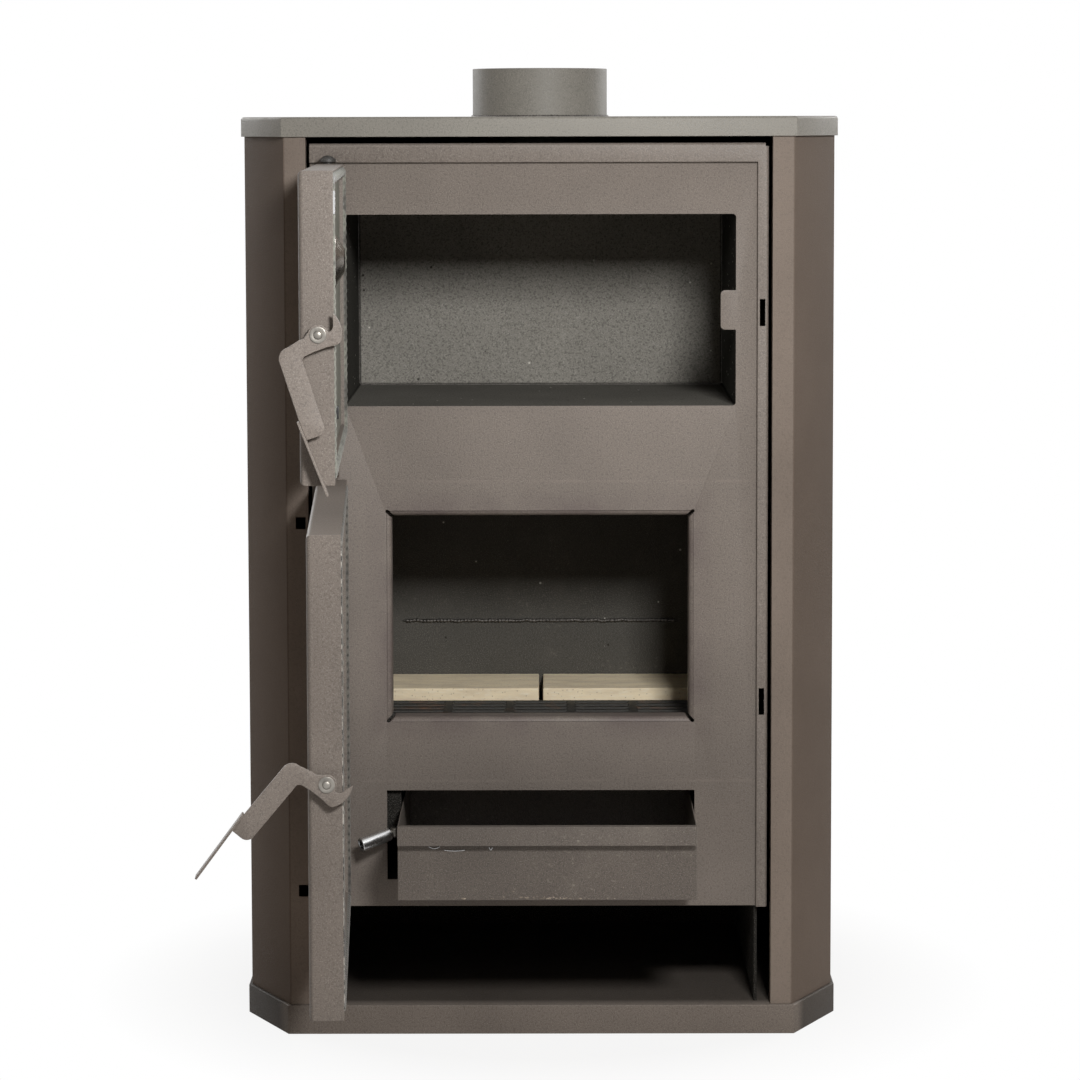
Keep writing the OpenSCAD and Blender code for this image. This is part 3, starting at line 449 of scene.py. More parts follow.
def zinc(name, colour):
    """Plain steel of bolts and pipe: brushed, dull and slightly stained."""
    material, tree, shader, place = new_material(name, Metallic=0.9)
    lines = noise(tree, scaled(tree, place, (500.0, 500.0, 60.0)), 1.0, 3.0, 0.7)
    stain = noise(tree, place, 90.0, 3.0, 0.6)
    tone = mix(tree, ramp(tree, stain, 0.4, 0.7, 0.0, 0.7), colour, times(colour, 0.45))
    feed(tree, shader, tone, ramp(tree, lines, 0.3, 0.7, 0.32, 0.55))
    relief(tree, shader, lines, 0.25, 0.0003)
    return material


def woven(name, colour, groove_shade=0.22):
    """Glass-fibre rope: pale strands, painted shade in the gaps between them at that share of the
    colour, pale flecks that are stray fibres and partly painted glints, and paste stains.
    """
    material, tree, shader, place = new_material(name, Sheen_Weight=0.2)
    strand = add(tree, "ShaderNodeAttribute", attribute_name="strand").outputs["Fac"]
    fluff_and_glints = noise(tree, place, 900.0, 3.0, 0.7)
    # painted shade in the grooves of the braid
    tone = mix(tree, ramp(tree, strand, 0.15, 0.75), times(colour, groove_shade), colour)
    # pale flecks: stray fibres, partly painted glints
    tone = mix(tree, ramp(tree, fluff_and_glints, 0.5, 0.75, 0.0, 0.5), tone, times(colour, 1.7))
    stain = ramp(tree, noise(tree, place, 60.0, 3.0, 0.6), 0.47, 0.6, 0.0, 0.7)
    feed(tree, shader, mix(tree, stain, tone, PASTE_STAIN),
         ramp(tree, stain, 0.0, 0.7, 0.95, 0.35))
    relief(tree, shader, math_node(tree, "ADD", strand, fluff_and_glints), 0.5, 0.0006)
    return material


def paste(name, colour):
    """Sealing paste squeezed out in glossy lumps."""
    material, tree, shader, place = new_material(name, Coat_Weight=0.5, Coat_Roughness=0.08)
    lump = noise(tree, place, 160.0, 3.0, 0.6)
    fine = noise(tree, place, 700.0)
    tone = mix(tree, ramp(tree, lump, 0.42, 0.60), times(colour, 0.12), colour)
    feed(tree, shader, tone, ramp(tree, fine, 0.3, 0.7, 0.15, 0.5))
    relief(tree, shader, fine, 0.6, 0.0008)
    return material


def enamel(name, colour):
    """Smooth printed enamel with faint mottling."""
    material, tree, shader, place = new_material(name)
    film = noise(tree, place, 120.0)
    tone = mix(tree, ramp(tree, film, 0.3, 0.7), times(colour, 0.9), colour)
    feed(tree, shader, tone, ramp(tree, film, 0.3, 0.7, 0.35, 0.5))
    return material


def clear_glass(name):
    """Clear cover glass with a faint film of dust."""
    material, tree, shader, place = new_material(name, Metallic=0.0, Transmission_Weight=1.0,
                                                 IOR=1.5)
    film = noise(tree, place, 80.0, 3.0, 0.6)
    tone = mix(tree, ramp(tree, film, 0.4, 0.8, 0.0, 0.3), WHITE, (0.9, 0.9, 0.88))
    feed(tree, shader, tone, ramp(tree, film, 0.4, 0.8, 0.02, 0.12))
    return material


def bead(name, colour):
    """Weld metal: dark scaly bead."""
    material, tree, shader, place = new_material(name, Metallic=0.7)
    scale = noise(tree, place, 380.0, 3.0, 0.6)
    tone = mix(tree, ramp(tree, scale, 0.4, 0.7), times(colour, 0.5), times(colour, 1.4))
    feed(tree, shader, tone, ramp(tree, scale, 0.3, 0.7, 0.35, 0.6))
    relief(tree, shader, scale, 0.5, 0.0006)
    return material


def dress(piece, material):
    """Gives a piece one material."""
    piece.data.materials.clear()
    piece.data.materials.append(material)
    for face in piece.data.polygons:
        face.material_index = 0


FINISH_NODES = {
    "Plate coat": ["front_plate"],
    "Plinth coat": ["plinth"],
    "Front coat": ["upper_rope_channel", "lower_rope_channel"],
    "Door coat": ["upper_door_pan", "lower_door_pan"],
    "Drawer coat": ["ash_drawer"],
    "Top coat": ["top_plate"],
    "Panel coat": ["left_side_panel", "right_side_panel"],
    "Rear coat": ["rear_panel", "upper_bottom_lug", "lower_top_lug", "lower_bottom_lug"],
    "Collar coat": ["flue_collar", "flue_throat"],
    "Oven coat": ["oven_box"],
    "Lining coat": ["upper_lining", "lower_lining"],
    "Firebox coat": ["water_jacket", "firebox_floor"],
    "Liner shade coat": ["inner_shell", "shell_top", "ash_floor", "left_runner", "right_runner",
                   "rod_bearing"],
    "Lever coat": ["upper_latch_lever", "upper_latch_grip", "lower_latch_lever",
                   "lower_latch_grip"],
    "Hinge coat": ["upper_top_lug", "upper_top_pin", "upper_bottom_pin", "lower_top_pin",
                   "lower_bottom_pin"],
    "Bolt steel": ["upper_pivot_bolt", "lower_pivot_bolt", "upper_pivot_bush",
                   "lower_pivot_bush", "panel_screws", "riddling_shaft"],
    "Pipe steel": ["flow_socket", "return_socket"],
    "Cast iron": ["grate", "grate_fork", "flue_baffle"],
    "Fire clay": ["left_brick", "right_brick"],
    "Oven rope": ["upper_rope"],
    "Sealing rope": ["lower_rope"],
    "Bright plate": ["riddling_sleeve", "thermometer_case", "thermometer_back"],
    "Dial white": ["thermometer_dial"],
    "Dial black": ["thermometer_pointer"],
    "Cover glass": ["thermometer_glass"],
}


# where painted shade on a coat begins along an axis: (still unshaded, fully shaded), in metres
PLINTH_FRONT, PANEL_FACE = (-0.194, -0.182), (0.2297, 0.2306)
OVEN_FLOOR, OVEN_ROOF, OVEN_WALL = (0.5830, 0.5806), (0.750, 0.753), (0.1760, 0.1775)
# the warm brown of the painted shade on the side panels' sides
WARM_SHADE_BROWN = (0.07, 0.045, 0.03)


def both_sides(limits, *rest):
    """A row of painted shade for each side of the stove."""
    return [("X", *(side * limit for limit in limits), *rest) for side in (-1, 1)]


def make_materials():
    """All the stove's materials, by name."""
    s = bpy.context.scene.stove_finish
    return {m.name: m for m in (
        plate_coat("Plate coat", s.coat),
        coat("Front coat", s.coat),
        # painted shade on the plinth behind its front edge, inside the wood store
        coat("Plinth coat", times(s.coat, 0.93), [("Y", *PLINTH_FRONT, 0.38)], gloss=0.1),
        coat("Door coat", times(s.coat, 0.92)),
        coat("Drawer coat", times(s.coat, 0.64), grain=0.3, cloud=1.0, wear=0.7, dust=0.5),
        coat("Top coat", s.top),
        # painted shade: the side panels darken towards warm brown beyond their front faces
        coat("Panel coat", (0.235, 0.193, 0.162), both_sides(PANEL_FACE, 0.60, *WARM_SHADE_BROWN),
             grain=0.1, wear=0.12, dust=0.05, gloss=0.03),
        coat("Rear coat", s.coat_dark, grain=0.1, wear=0.12, dust=0.05, gloss=0.05),
        coat("Collar coat", times(s.top, 0.82), grain=0.22, dust=0.3),
        # painted shade on the oven's floor, roof and side walls
        coat("Oven coat", s.inner,
             [("Z", *OVEN_FLOOR, 0.40), ("Z", *OVEN_ROOF, 0.3), *both_sides(OVEN_WALL, 0.13)],
             chips=0.8, grain=0.4, cloud=0.9, wear=0.1, dust=0.3, gloss=0.04, satin=0.8),
        coat("Firebox coat", times(s.inner, 0.34), chips=0.7, grain=0.2, cloud=0.8,
             dust=0.25, gloss=0.04, satin=0.8),
        # painted shade: the near-black liner stands for the shade inside the ash compartment and
        # the wood store
        coat("Liner shade coat", times(s.inner, 0.07), dust=0.05, gloss=0.04, satin=0.8),
        coat("Lining coat", (0.262, 0.262, 0.226), chips=0.3, grain=0.35, cloud=0.8, dust=0.3,
             gloss=0.15),
        coat("Lever coat", times(s.coat, 1.02), wear=0.5, gloss=0.5),
        coat("Hinge coat", (0.035, 0.033, 0.031), wear=0.4, gloss=0.5),
        zinc("Bolt steel", (0.30, 0.28, 0.25)),
        zinc("Pipe steel", (0.30, 0.28, 0.26)),
        cast("Cast iron", (0.050, 0.048, 0.044)),
        brick("Fire clay", s.brick),
        woven("Sealing rope", (0.17, 0.16, 0.14)),
        woven("Oven rope", (0.25, 0.25, 0.215), 0.6),
        paste("Sealing paste", (0.55, 0.52, 0.47)),
        plated("Bright plate", (0.72, 0.72, 0.72)),
        # painted reflection: the dish's colour is darkened to stand for the dark surroundings it
        # reflects
        plated("Polished dish", (0.46, 0.43, 0.39), 0.10),
        enamel("Dial white", (0.80, 0.79, 0.74)),
        enamel("Dial black", (0.02, 0.02, 0.02)),
        clear_glass("Cover glass"),
        bead("Weld metal", (0.11, 0.10, 0.09)),
        bead("Weld spatter", (0.36, 0.30, 0.24)),
    )}


MATERIALS = {}


# ---------------------------------------------------------------- places, in metres
UPPER_LOW, UPPER_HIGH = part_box("upper_door_pan")
LOWER_LOW, LOWER_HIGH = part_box("lower_door_pan")
DOORS = {"upper": (UPPER_LOW.z, UPPER_HIGH.z), "lower": (LOWER_LOW.z, LOWER_HIGH.z)}
PIVOTS = {"upper": 0.672596, "lower": 0.315639}
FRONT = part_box("plinth")[0].y
PLATE_FRONT, DRAWER_FACE, LINING_FACE = -0.188, -0.2700, -0.1945
FIRE_HALF, FIRE_MIDDLE, FIRE_RISE = 0.1358, 0.3865, 0.093
SEAM_HEIGHTS = (0.511, 0.234)
DOOR_HALF, ROPE_PLANE, DOOR_BACK = 0.1968, -0.1929, -0.190
LEVER_OUT, PIVOT_PLANE = 0.20375, -0.2023
GAUGE = Vector((0.0, -0.2110, UPPER_HIGH.z - 0.079))
BACKWARD = (0, 1, 0)


def opened(door):
    """The turn from a shut door to where it hangs open at rest."""
    joint = JOINTS[f"{door}_door_hinge"]
    hinge = Vector(joint["pos_m"])
    turn = Matrix.Rotation(math.radians(joint["range_deg"][0]), 4, "Z")
    return Matrix.Translation(hinge) @ turn @ Matrix.Translation(-hinge)


# ---------------------------------------------------------------- making pieces
MERGE = 1e-6  # vertices nearer than this are one
BEND_STEPS = 8
NEAR_END = 0.99999  # past this share of its length a closed route is back at its start


def finished(name, bm, finish, body, replaced=(), place=None, sharp=20):
    """Turns a bmesh into a piece at the origin that rides on a CAD body."""
    if place is not None:
        bmesh.ops.transform(bm, matrix=place, verts=bm.verts)
    mesh = bpy.data.meshes.new(name)
    bm.to_mesh(mesh)
    bm.free()
    for face in mesh.polygons:
        face.use_smooth = True
    mesh.set_sharp_from_angle(angle=math.radians(sharp))
    mesh.materials.append(MATERIALS[finish])
    piece = bpy.data.objects.new(name, mesh)
    bpy.context.scene.collection.objects.link(piece)
    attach(piece, body)
    if replaced:
        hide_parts(*replaced)
    return piece


def outward(bm):
    """Merges doubles and points the faces out."""
    bmesh.ops.remove_doubles(bm, verts=bm.verts, dist=MERGE)
    bmesh.ops.recalc_face_normals(bm, faces=bm.faces)


def bevelled(bm, edges, width, segments=2):
    """Rounds the given edges by that width."""
    bmesh.ops.bevel(bm, geom=edges, offset=width, offset_type="OFFSET", segments=segments,
                    profile=0.5, affect="EDGES", material=-1)


def rounded(bm, width):
    """Rounds every edge where faces meet, and splits the large faces left."""
    bevelled(bm, [edge for edge in bm.edges if edge.calc_face_angle(0.0) > MEET], width)
    bmesh.ops.triangulate(bm, faces=[face for face in bm.faces if len(face.verts) > 4])


def block(bm, size, place):
    """A box of that size round the place; returns its vertices."""
    verts = bmesh.ops.create_cube(bm, size=1.0)["verts"]
    bmesh.ops.scale(bm, vec=size, verts=verts)
    bmesh.ops.translate(bm, vec=place, verts=verts)
    return verts


def lines_from(start, steps):
    """The start and the places that the steps lead to."""
    lines = [start]
    for step in steps:
        lines.append(lines[-1] + step)
    return lines


def lathed(bm, profile, middle, axis, steps):
    """A closed profile of (radius, distance along the axis) spun about the axis."""
    axis = Vector(axis)
    out = axis.orthogonal().normalized()
    verts = [bm.verts.new(middle + out * radius + axis * run) for radius, run in profile]
    edges = [bm.edges.new(pair) for pair in zip(verts, verts[1:])]
    bmesh.ops.spin(bm, geom=verts + edges, cent=middle, axis=axis, angle=2 * math.pi,
                   steps=steps, use_merge=True)


def bent(points, closed, bend):
    """The corner points with a smooth bend at each."""
    out = []
    for i, point in enumerate(points):
        if not closed and i in (0, len(points) - 1):
            out.append(point)
            continue
        before = (points[i - 1] - point).normalized() * bend
        after = (points[(i + 1) % len(points)] - point).normalized() * bend
        for k in range(BEND_STEPS + 1):
            t = k / BEND_STEPS
            out.append(point + before * (1 - t) ** 2 + after * t ** 2)
    return out + out[:1] if closed else out


def run_along(points):
    """The route's length, and a function from distance to point and direction."""
    lengths = lines_from(0.0, ((two - one).length for one, two in zip(points, points[1:])))

    def at(distance):
        i = min(max(bisect.bisect_right(lengths, distance) - 1, 0), len(points) - 2)
        span = max(lengths[i + 1] - lengths[i], 1e-9)
        step = points[i + 1] - points[i]
        return points[i] + step * ((distance - lengths[i]) / span), step.normalized()

    return lengths[-1], at


def swept(bm, points, normal, facets, pitch, radius, closed=False, strand=None, braids=1.0):
    """A tube along a route that lies in one plane; radius(distance, turn) shapes its surface."""
    length, at = run_along(points)
    known = set(bm.verts)
    bmesh.ops.create_grid(bm, x_segments=max(int(length / pitch), 3), y_segments=facets, size=1.0)
    new = [vert for vert in bm.verts if vert not in known]
    normal = Vector(normal)
    for vert in new:
        distance = (vert.co.x + 1) / 2 * length
        if closed and distance > length * NEAR_END:
            distance = 0.0
        turn = -math.pi if vert.co.y > NEAR_END else math.pi * vert.co.y
        middle, ahead = at(distance)
        size = radius(distance, turn)
        if strand is not None:
            vert[strand] = braid(distance, turn, braids)
        vert.co = middle + size * (normal.cross(ahead) * math.cos(turn) + normal * math.sin(turn))
    bmesh.ops.remove_doubles(bm, verts=new, dist=2 * MERGE)
    if not closed:
        capped(bm, facets)


def capped(bm, sides):
    """Closes the open ends."""
    bmesh.ops.holes_fill(bm, edges=[edge for edge in bm.edges if edge.is_boundary], sides=sides)


def braid(distance, turn, pitch):
    """How far a strand of the braid stands up there, from 0 to 1."""
    phase = 2 * math.pi * distance / pitch
    return 0.5 + 0.5 * max(math.cos(4 * turn + phase), math.cos(4 * turn - phase))


def rough(seed, distance, scale):
    """Repeatable unevenness from -1 to 1."""
    return hash_noise(Vector((distance * scale, seed, 0.0)))


# ---------------------------------------------------------------- operators
class STOVE_OT_finishes(Operator):
    """Makes the finishes and gives each frame piece its own"""
    bl_idname = "stove.finishes"
    bl_label = "Finishes"

    def execute(self, context):
        MATERIALS.update(make_materials())
        for name, members in FINISH_NODES.items():
            for node in members:
                dress(NODES[node], MATERIALS[name])
        missing = set(NODES) - {n for m in FINISH_NODES.values() for n in m}
        if missing:
            raise RuntimeError(f"no finish for {sorted(missing)}")
        return {"FINISHED"}


EDGED = {
    "casing": ["top_plate", "plinth", "left_side_panel", "right_side_panel", "rear_panel",
               "front_plate", "flue_collar"],
    "inner_steel": ["oven_box", "water_jacket", "inner_shell", "firebox_floor", "ash_floor"],
    "door_steel": ["upper_door_pan", "lower_door_pan", "upper_rope_channel",
                   "lower_rope_channel", "upper_lining", "lower_lining", "ash_drawer"],
    "lever_steel": ["upper_latch_lever", "lower_latch_lever", "upper_latch_grip",
                    "lower_latch_grip"],
    "pipe_steel": ["flow_socket", "return_socket"],
    "iron": ["flue_baffle"],
    "fire_brick": ["left_brick", "right_brick"],
    "hinge_steel": ["upper_top_lug", "upper_bottom_lug", "lower_top_lug", "lower_bottom_lug",
                    "upper_top_pin", "upper_bottom_pin", "lower_top_pin", "lower_bottom_pin"],
    "bright_metal": ["thermometer_case", "riddling_sleeve"],
}
EDGE_TIMES = {"fire_brick": 3.0, "iron": 2.0}
FOLDED = {"top_plate": 0.0028, "plinth": 0.0013}
FOLD_LENGTH, FOLD_ANGLE = 0.03, 1.0
BRICK_RISE, BRICK_CUT = 0.0082, 0.270
FLAT, MEET = math.radians(1.5), math.radians(25)


class STOVE_OT_edges(Operator):
    """Rounds the edges of the sheets, castings and bricks, and raises the brick tops"""
    bl_idname = "stove.edges"
    bl_label = "Rounded edges"

    def execute(self, context):
        for slot, members in EDGED.items():
            width = context.scene.stove_finish.edge * EDGE_TIMES.get(slot, 1.0)
            for node in members:
                self.round_off(node, slot, width)
        return {"FINISHED"}

    def round_off(self, node, slot, width):
        """A rounded copy of one CAD node, shown in its place."""
        source = NODES[node]
        bm = bmesh.new()
        bm.from_mesh(source.data)
        bmesh.ops.remove_doubles(bm, verts=bm.verts, dist=MERGE)
        bmesh.ops.dissolve_limit(bm, angle_limit=FLAT, verts=bm.verts, edges=bm.edges)
        if node in FOLDED:
            top = max(vert.co.z for vert in bm.verts) - 10 * MERGE
            bevelled(bm, [edge for edge in bm.edges if edge.calc_length() > FOLD_LENGTH
                          and edge.calc_face_angle(0.0) > FOLD_ANGLE
                          and all(vert.co.z > top for vert in edge.verts)], FOLDED[node], 5)
        rounded(bm, width)
        if slot == "fire_brick":
            bmesh.ops.translate(bm, vec=(0, 0, BRICK_RISE),
                                verts=[vert for vert in bm.verts if vert.co.z > BRICK_CUT])
        finished(f"{node}_rounded", bm, source.data.materials[0].name, source["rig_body"],
                 (node,))


ROPE_BEND, ROPE_STEP, ROPE_GROOVE, ROPE_SWELL = 0.006, 0.0011, 0.0006, 0.00008
PASTE_INSET, PASTE_ENDS, PASTE_THICKEST = 0.0022, (0.008, 0.004), 0.0013
FOIL_ENDS, FOIL_OVER, FOIL_CREASE = (0.034, 0.016), 0.00015, 0.0001


class STOVE_OT_ropes(Operator):
    """Lays the doors' braided sealing ropes, the lower one's paste and the upper one's foil"""
    bl_idname = "stove.ropes"
    bl_label = "Sealing ropes"

    def execute(self, context):
        s = context.scene.stove_rope
        side = DOOR_HALF - s.inset
        for door, (low, high) in DOORS.items():
            corners = [Vector((x, ROPE_PLANE, z)) for x, z in (
                (-side, low + s.inset), (side, low + s.inset),
                (side, high - s.inset), (-side, high - s.inset))]
            bm = bmesh.new()
            strand = bm.verts.layers.float.new("strand")

            def radius(distance, turn):
                swell = ROPE_SWELL * rough(3.0, distance, 90.0)
                return s.radius - 0.0001 + swell - ROPE_GROOVE * (1 - braid(distance, turn, pitch))

            route = bent(corners, True, ROPE_BEND)
            length = run_along(route)[0]
            pitch = length / round(length / s.strand)
            swept(bm, route, BACKWARD, s.facets, ROPE_STEP, radius, True, strand, pitch)
            outward(bm)
            finished(f"{door}_braided_rope", bm, NODES[f"{door}_rope"].data.materials[0].name,
                     f"{door}_door", (f"{door}_rope",), opened(door), sharp=180)
        self.paste_bead(*DOORS["lower"])
        self.foil(DOORS["upper"][1], side, s.radius)
        return {"FINISHED"}

    def paste_bead(self, low, high):
        """Paste squeezed out along the lower door's free edge."""
        points = [Vector((DOOR_HALF - PASTE_INSET, DOOR_BACK + 0.0001, z))
                  for z in (low + PASTE_ENDS[0], high - PASTE_ENDS[1])]

        def radius(distance, turn):
            lump = 0.5 * rough(7.0, distance, 55.0) + 0.5 * rough(8.5, distance, 240.0)
            near_top = max(0.0, 1 - (high - low - distance) / 0.05)
            thick = min(PASTE_THICKEST, 0.00065 + 0.0007 * lump + 0.0005 * near_top)
            return thick + 0.00012 * math.sin(3 * turn)

        bm = bmesh.new()
        swept(bm, points, BACKWARD, 10, 0.0009, radius)
        outward(bm)
        finished("lower_seal_paste", bm, "Sealing paste", "lower_door", (),
                 opened("lower"), sharp=60)

    def foil(self, high, side, size):
        """Foil wrapped round the upper rope's joint."""
        points = [Vector((side, ROPE_PLANE, high - end)) for end in FOIL_ENDS]

        def radius(distance, turn):
            return size + FOIL_OVER + FOIL_CREASE * rough(turn * 2.3, distance, 420.0)

        bm = bmesh.new()
        swept(bm, points, BACKWARD, 28, 0.0007, radius)
        outward(bm)
        finished("upper_rope_foil", bm, "Bright plate", "upper_door", (),
                 opened("upper"), sharp=5)


FIRE_SEAM, SEAM_STEPS = 0.350, 40
FIREBOX_LUMPS = ((-0.006, 0.0034), (0.031, 0.0036), (-0.052, 0.0024))
FIRE_BEAD, OVEN_BEAD, COLLAR_BEAD, LUG_BEAD = 0.0021, 0.0012, 0.0018, 0.0009
OVEN_INSET, COLLAR_STEPS = 0.0015, 96


class STOVE_OT_welds(Operator):
    """Lays the weld beads of the firebox, the oven, the collar and the hinge lugs"""
    bl_idname = "stove.welds"
    bl_label = "Welds"

    def bead(self, name, points, normal, size, seed, slot="inner_steel", closed=False):
        """One weld bead with ripples, tapered at open ends."""
        length = run_along(points)[0]

        def radius(distance, turn):
            ripple = 0.12 * math.sin(2 * math.pi * distance / (1.6 * size))
            end = 1.0 if closed else min(1.0, 0.3 + min(distance, length - distance) / (3 * size))
            return size * end * (0.85 + ripple + 0.22 * rough(seed + turn * 0.4, distance, 130.0))

        bm = bmesh.new()
        swept(bm, points, normal, 10, max(size * 0.35, 0.0006), radius, closed)
        outward(bm)
        finished(name, bm, "Weld metal", "stove", sharp=180)

    def execute(self, context):
        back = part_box("left_brick")[1].y
        line = [Vector((-FIRE_HALF + 0.27 * k / SEAM_STEPS, back,
                        FIRE_SEAM + 0.0012 * rough(2.0, k, 0.7))) for k in range(SEAM_STEPS + 1)]
        self.bead("firebox_seam_weld", line, BACKWARD, FIRE_BEAD, 4.0)
        for k, (x, size) in enumerate(FIREBOX_LUMPS):
            lump = [Vector((x - 0.003, back, FIRE_SEAM + 0.0005)),
                    Vector((x + 0.003, back, FIRE_SEAM - 0.0005))]
            self.bead(f"firebox_weld_lump_{k + 1}", lump, BACKWARD, size, 9.0 + k)
        low, high = (corner.copy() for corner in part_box("oven_box"))
        low += Vector((OVEN_INSET,) * 3)
        high -= Vector((OVEN_INSET,) * 3)
        inner = [Vector((x, high.y, z)) for x, z in (
            (low.x, low.z), (high.x, low.z), (high.x, high.z), (low.x, high.z))]
        self.bead("oven_back_weld", bent(inner, True, 0.004), BACKWARD, OVEN_BEAD, 1.0,
                  closed=True)
        low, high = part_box("flue_collar")
        middle, reach = (low + high) / 2, (high.x - low.x) / 2
        ring = [Vector((middle.x + reach * math.cos(a), middle.y + reach * math.sin(a), low.z))
                for a in (2 * math.pi * k / COLLAR_STEPS for k in range(COLLAR_STEPS + 1))]
        self.bead("collar_weld", ring, (0, 0, 1), COLLAR_BEAD, 6.0, "casing", True)
        for name in ("upper_bottom_lug", "lower_top_lug", "lower_bottom_lug"):
            low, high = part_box(name)
            for k, z in enumerate((low.z, high.z)):
                line = [Vector((x, PLATE_FRONT, z)) for x in (low.x, high.x)]
                self.bead(f"{name}_weld_{k + 1}", line, BACKWARD, LUG_BEAD, z, "hinge_steel")
        return {"FINISHED"}


class STOVE_OT_rivets(Operator):
    """Sets the domed rivets and washers that hold the latch levers"""
    bl_idname = "stove.rivets"
    bl_label = "Lever rivets"

    def execute(self, context):
        inner, face = DOOR_HALF - 0.004, LEVER_OUT + 0.00005
        for door, height in PIVOTS.items():
            profile = [(0.0, inner), (0.0029, inner), (0.0031, inner + 0.0003),
                       (0.0031, DOOR_HALF - 0.0016), (0.0024, DOOR_HALF - 0.0015),
                       (0.0024, face), (0.0064, face), (0.0066, face + 0.0002),
                       (0.0065, face + 0.0006), (0.0060, face + 0.0008), (0.0046, face + 0.0006),
                       (0.0036, face + 0.0005), (0.0033, face + 0.0009), (0.0030, face + 0.0015),
                       (0.0024, face + 0.0020), (0.0013, face + 0.0023), (0.0, face + 0.0024)]
            bm = bmesh.new()
            lathed(bm, profile, Vector((0, PIVOT_PLANE, height)), (1, 0, 0), 40)
            outward(bm)
            finished(f"{door}_lever_rivet", bm, "Bolt steel", f"{door}_door",
                     (f"{door}_pivot_bolt",), opened(door), sharp=50)
        return {"FINISHED"}


DIAL_START, DIAL_SWEEP, DIAL_MARKS, DIAL_NUMBERS = 225, 270, 50, 5
LONG_MARK, SHORT_MARK = (0.0011, 0.0002, 0.0040), (0.0006, 0.0002, 0.0022)
MARK_RING, NUMBER_RING, NUMBER_LIFT = 0.0255, 0.0172, 0.00008
MARK_ROUND, NUMBER_SIZE, NUMBER_THICK = 0.00008, 0.0052, 0.0001


class STOVE_OT_dial(Operator):
    """Prints the thermometer's scale: its marks and its numbers"""
    bl_idname = "stove.dial"
    bl_label = "Dial"

    def execute(self, context):
        marks = bmesh.new()
        for k in range(DIAL_MARKS + 1):
            angle = math.radians(DIAL_START - DIAL_SWEEP / DIAL_MARKS * k)
            size = SHORT_MARK if k % (DIAL_MARKS // DIAL_NUMBERS) else LONG_MARK
            bmesh.ops.rotate(marks, cent=(0, 0, 0),
                             verts=block(marks, size, (0, 0, MARK_RING - size[2] / 2)),
                             matrix=Matrix.Rotation(math.pi / 2 - angle, 3, "Y"))
        bmesh.ops.translate(marks, vec=GAUGE, verts=marks.verts)
        bevelled(marks, [edge for edge in marks.edges if edge.calc_length() < 0.0003],
                 MARK_ROUND, 1)
        finished("dial_marks", marks, "Dial black", "upper_door", (),
                 opened("upper"))
        for k in range(DIAL_NUMBERS + 1):
            angle = math.radians(DIAL_START - DIAL_SWEEP / DIAL_NUMBERS * k)
            self.number(str(100 * k), Vector((NUMBER_RING * math.cos(angle), -NUMBER_LIFT,
                                              NUMBER_RING * math.sin(angle))))
        return {"FINISHED"}

    def number(self, text, offset):
        """One number of the scale as a mesh."""
        curve = bpy.data.curves.new(f"dial_{text}", "FONT")
        curve.body, curve.size, curve.extrude = text, NUMBER_SIZE, NUMBER_THICK
        curve.align_x = curve.align_y = "CENTER"
        curve.resolution_u = 3
        source = bpy.data.objects.new(f"dial_{text}_text", curve)
        bpy.context.scene.collection.objects.link(source)
        bpy.context.view_layer.update()
        mesh = bpy.data.meshes.new_from_object(source)
        bpy.data.objects.remove(source)
        bm = bmesh.new()
        bm.from_mesh(mesh)
        bpy.data.meshes.remove(mesh)
        outward(bm)
        place = Matrix.Translation(GAUGE + offset) @ Matrix.Rotation(math.pi / 2, 4, "X")
        finished(f"dial_number_{text}", bm, "Dial black", "upper_door", (),
                 opened("upper") @ place)


DISH = ((0.0, 0.0), (0.0230, 0.0), (0.0230, 0.0005), (0.0224, 0.0012), (0.0212, 0.0018),
        (0.0106, 0.0082), (0.0096, 0.0088), (0.0084, 0.0090), (0.0, 0.0090))
NOTCH_SHADE_SIZE, NOTCH_SHADE_PLACE, NOTCH_SHADE_ROUND = (0.008, 0.0050, 0.0105), (0.080, 0.0024, 0.6005), 0.0005


class STOVE_OT_dish(Operator):
    """Spins the thermometer's polished dish and sets a black block on the oven door's lining:
    painted shade for a dark notch
    """
    bl_idname = "stove.dish"
    bl_label = "Dish and notch shade"

    def execute(self, context):
        bm = bmesh.new()
        lathed(bm, DISH, Vector((0, LINING_FACE, GAUGE.z)), BACKWARD, 64)
        outward(bm)
        finished("thermometer_dish", bm, "Polished dish", "upper_door",
                 ("thermometer_back",), opened("upper"), sharp=25)
        bm = bmesh.new()
        # painted shade: a black block that stands for a dark notch in the lining
        block(bm, NOTCH_SHADE_SIZE, Vector(NOTCH_SHADE_PLACE) + Vector((0, LINING_FACE, 0)))
        bevelled(bm, bm.edges[:], NOTCH_SHADE_ROUND)
        finished("lining_notch_shade", bm, "Dial black", "upper_door", (), opened("upper"))
        return {"FINISHED"}


GRATE_TOP, GRATE_ROUND = 0.2869, 0.0011
# widths of the bars and slots in turn, from left to right and from front to rear
GRATE_COLUMNS = (0.011, *((0.050, 0.008) * 4), 0.050, 0.011)
GRATE_ROWS = (0.0085, *((0.007, 0.0085) * 6), 0.007, 0.0075)


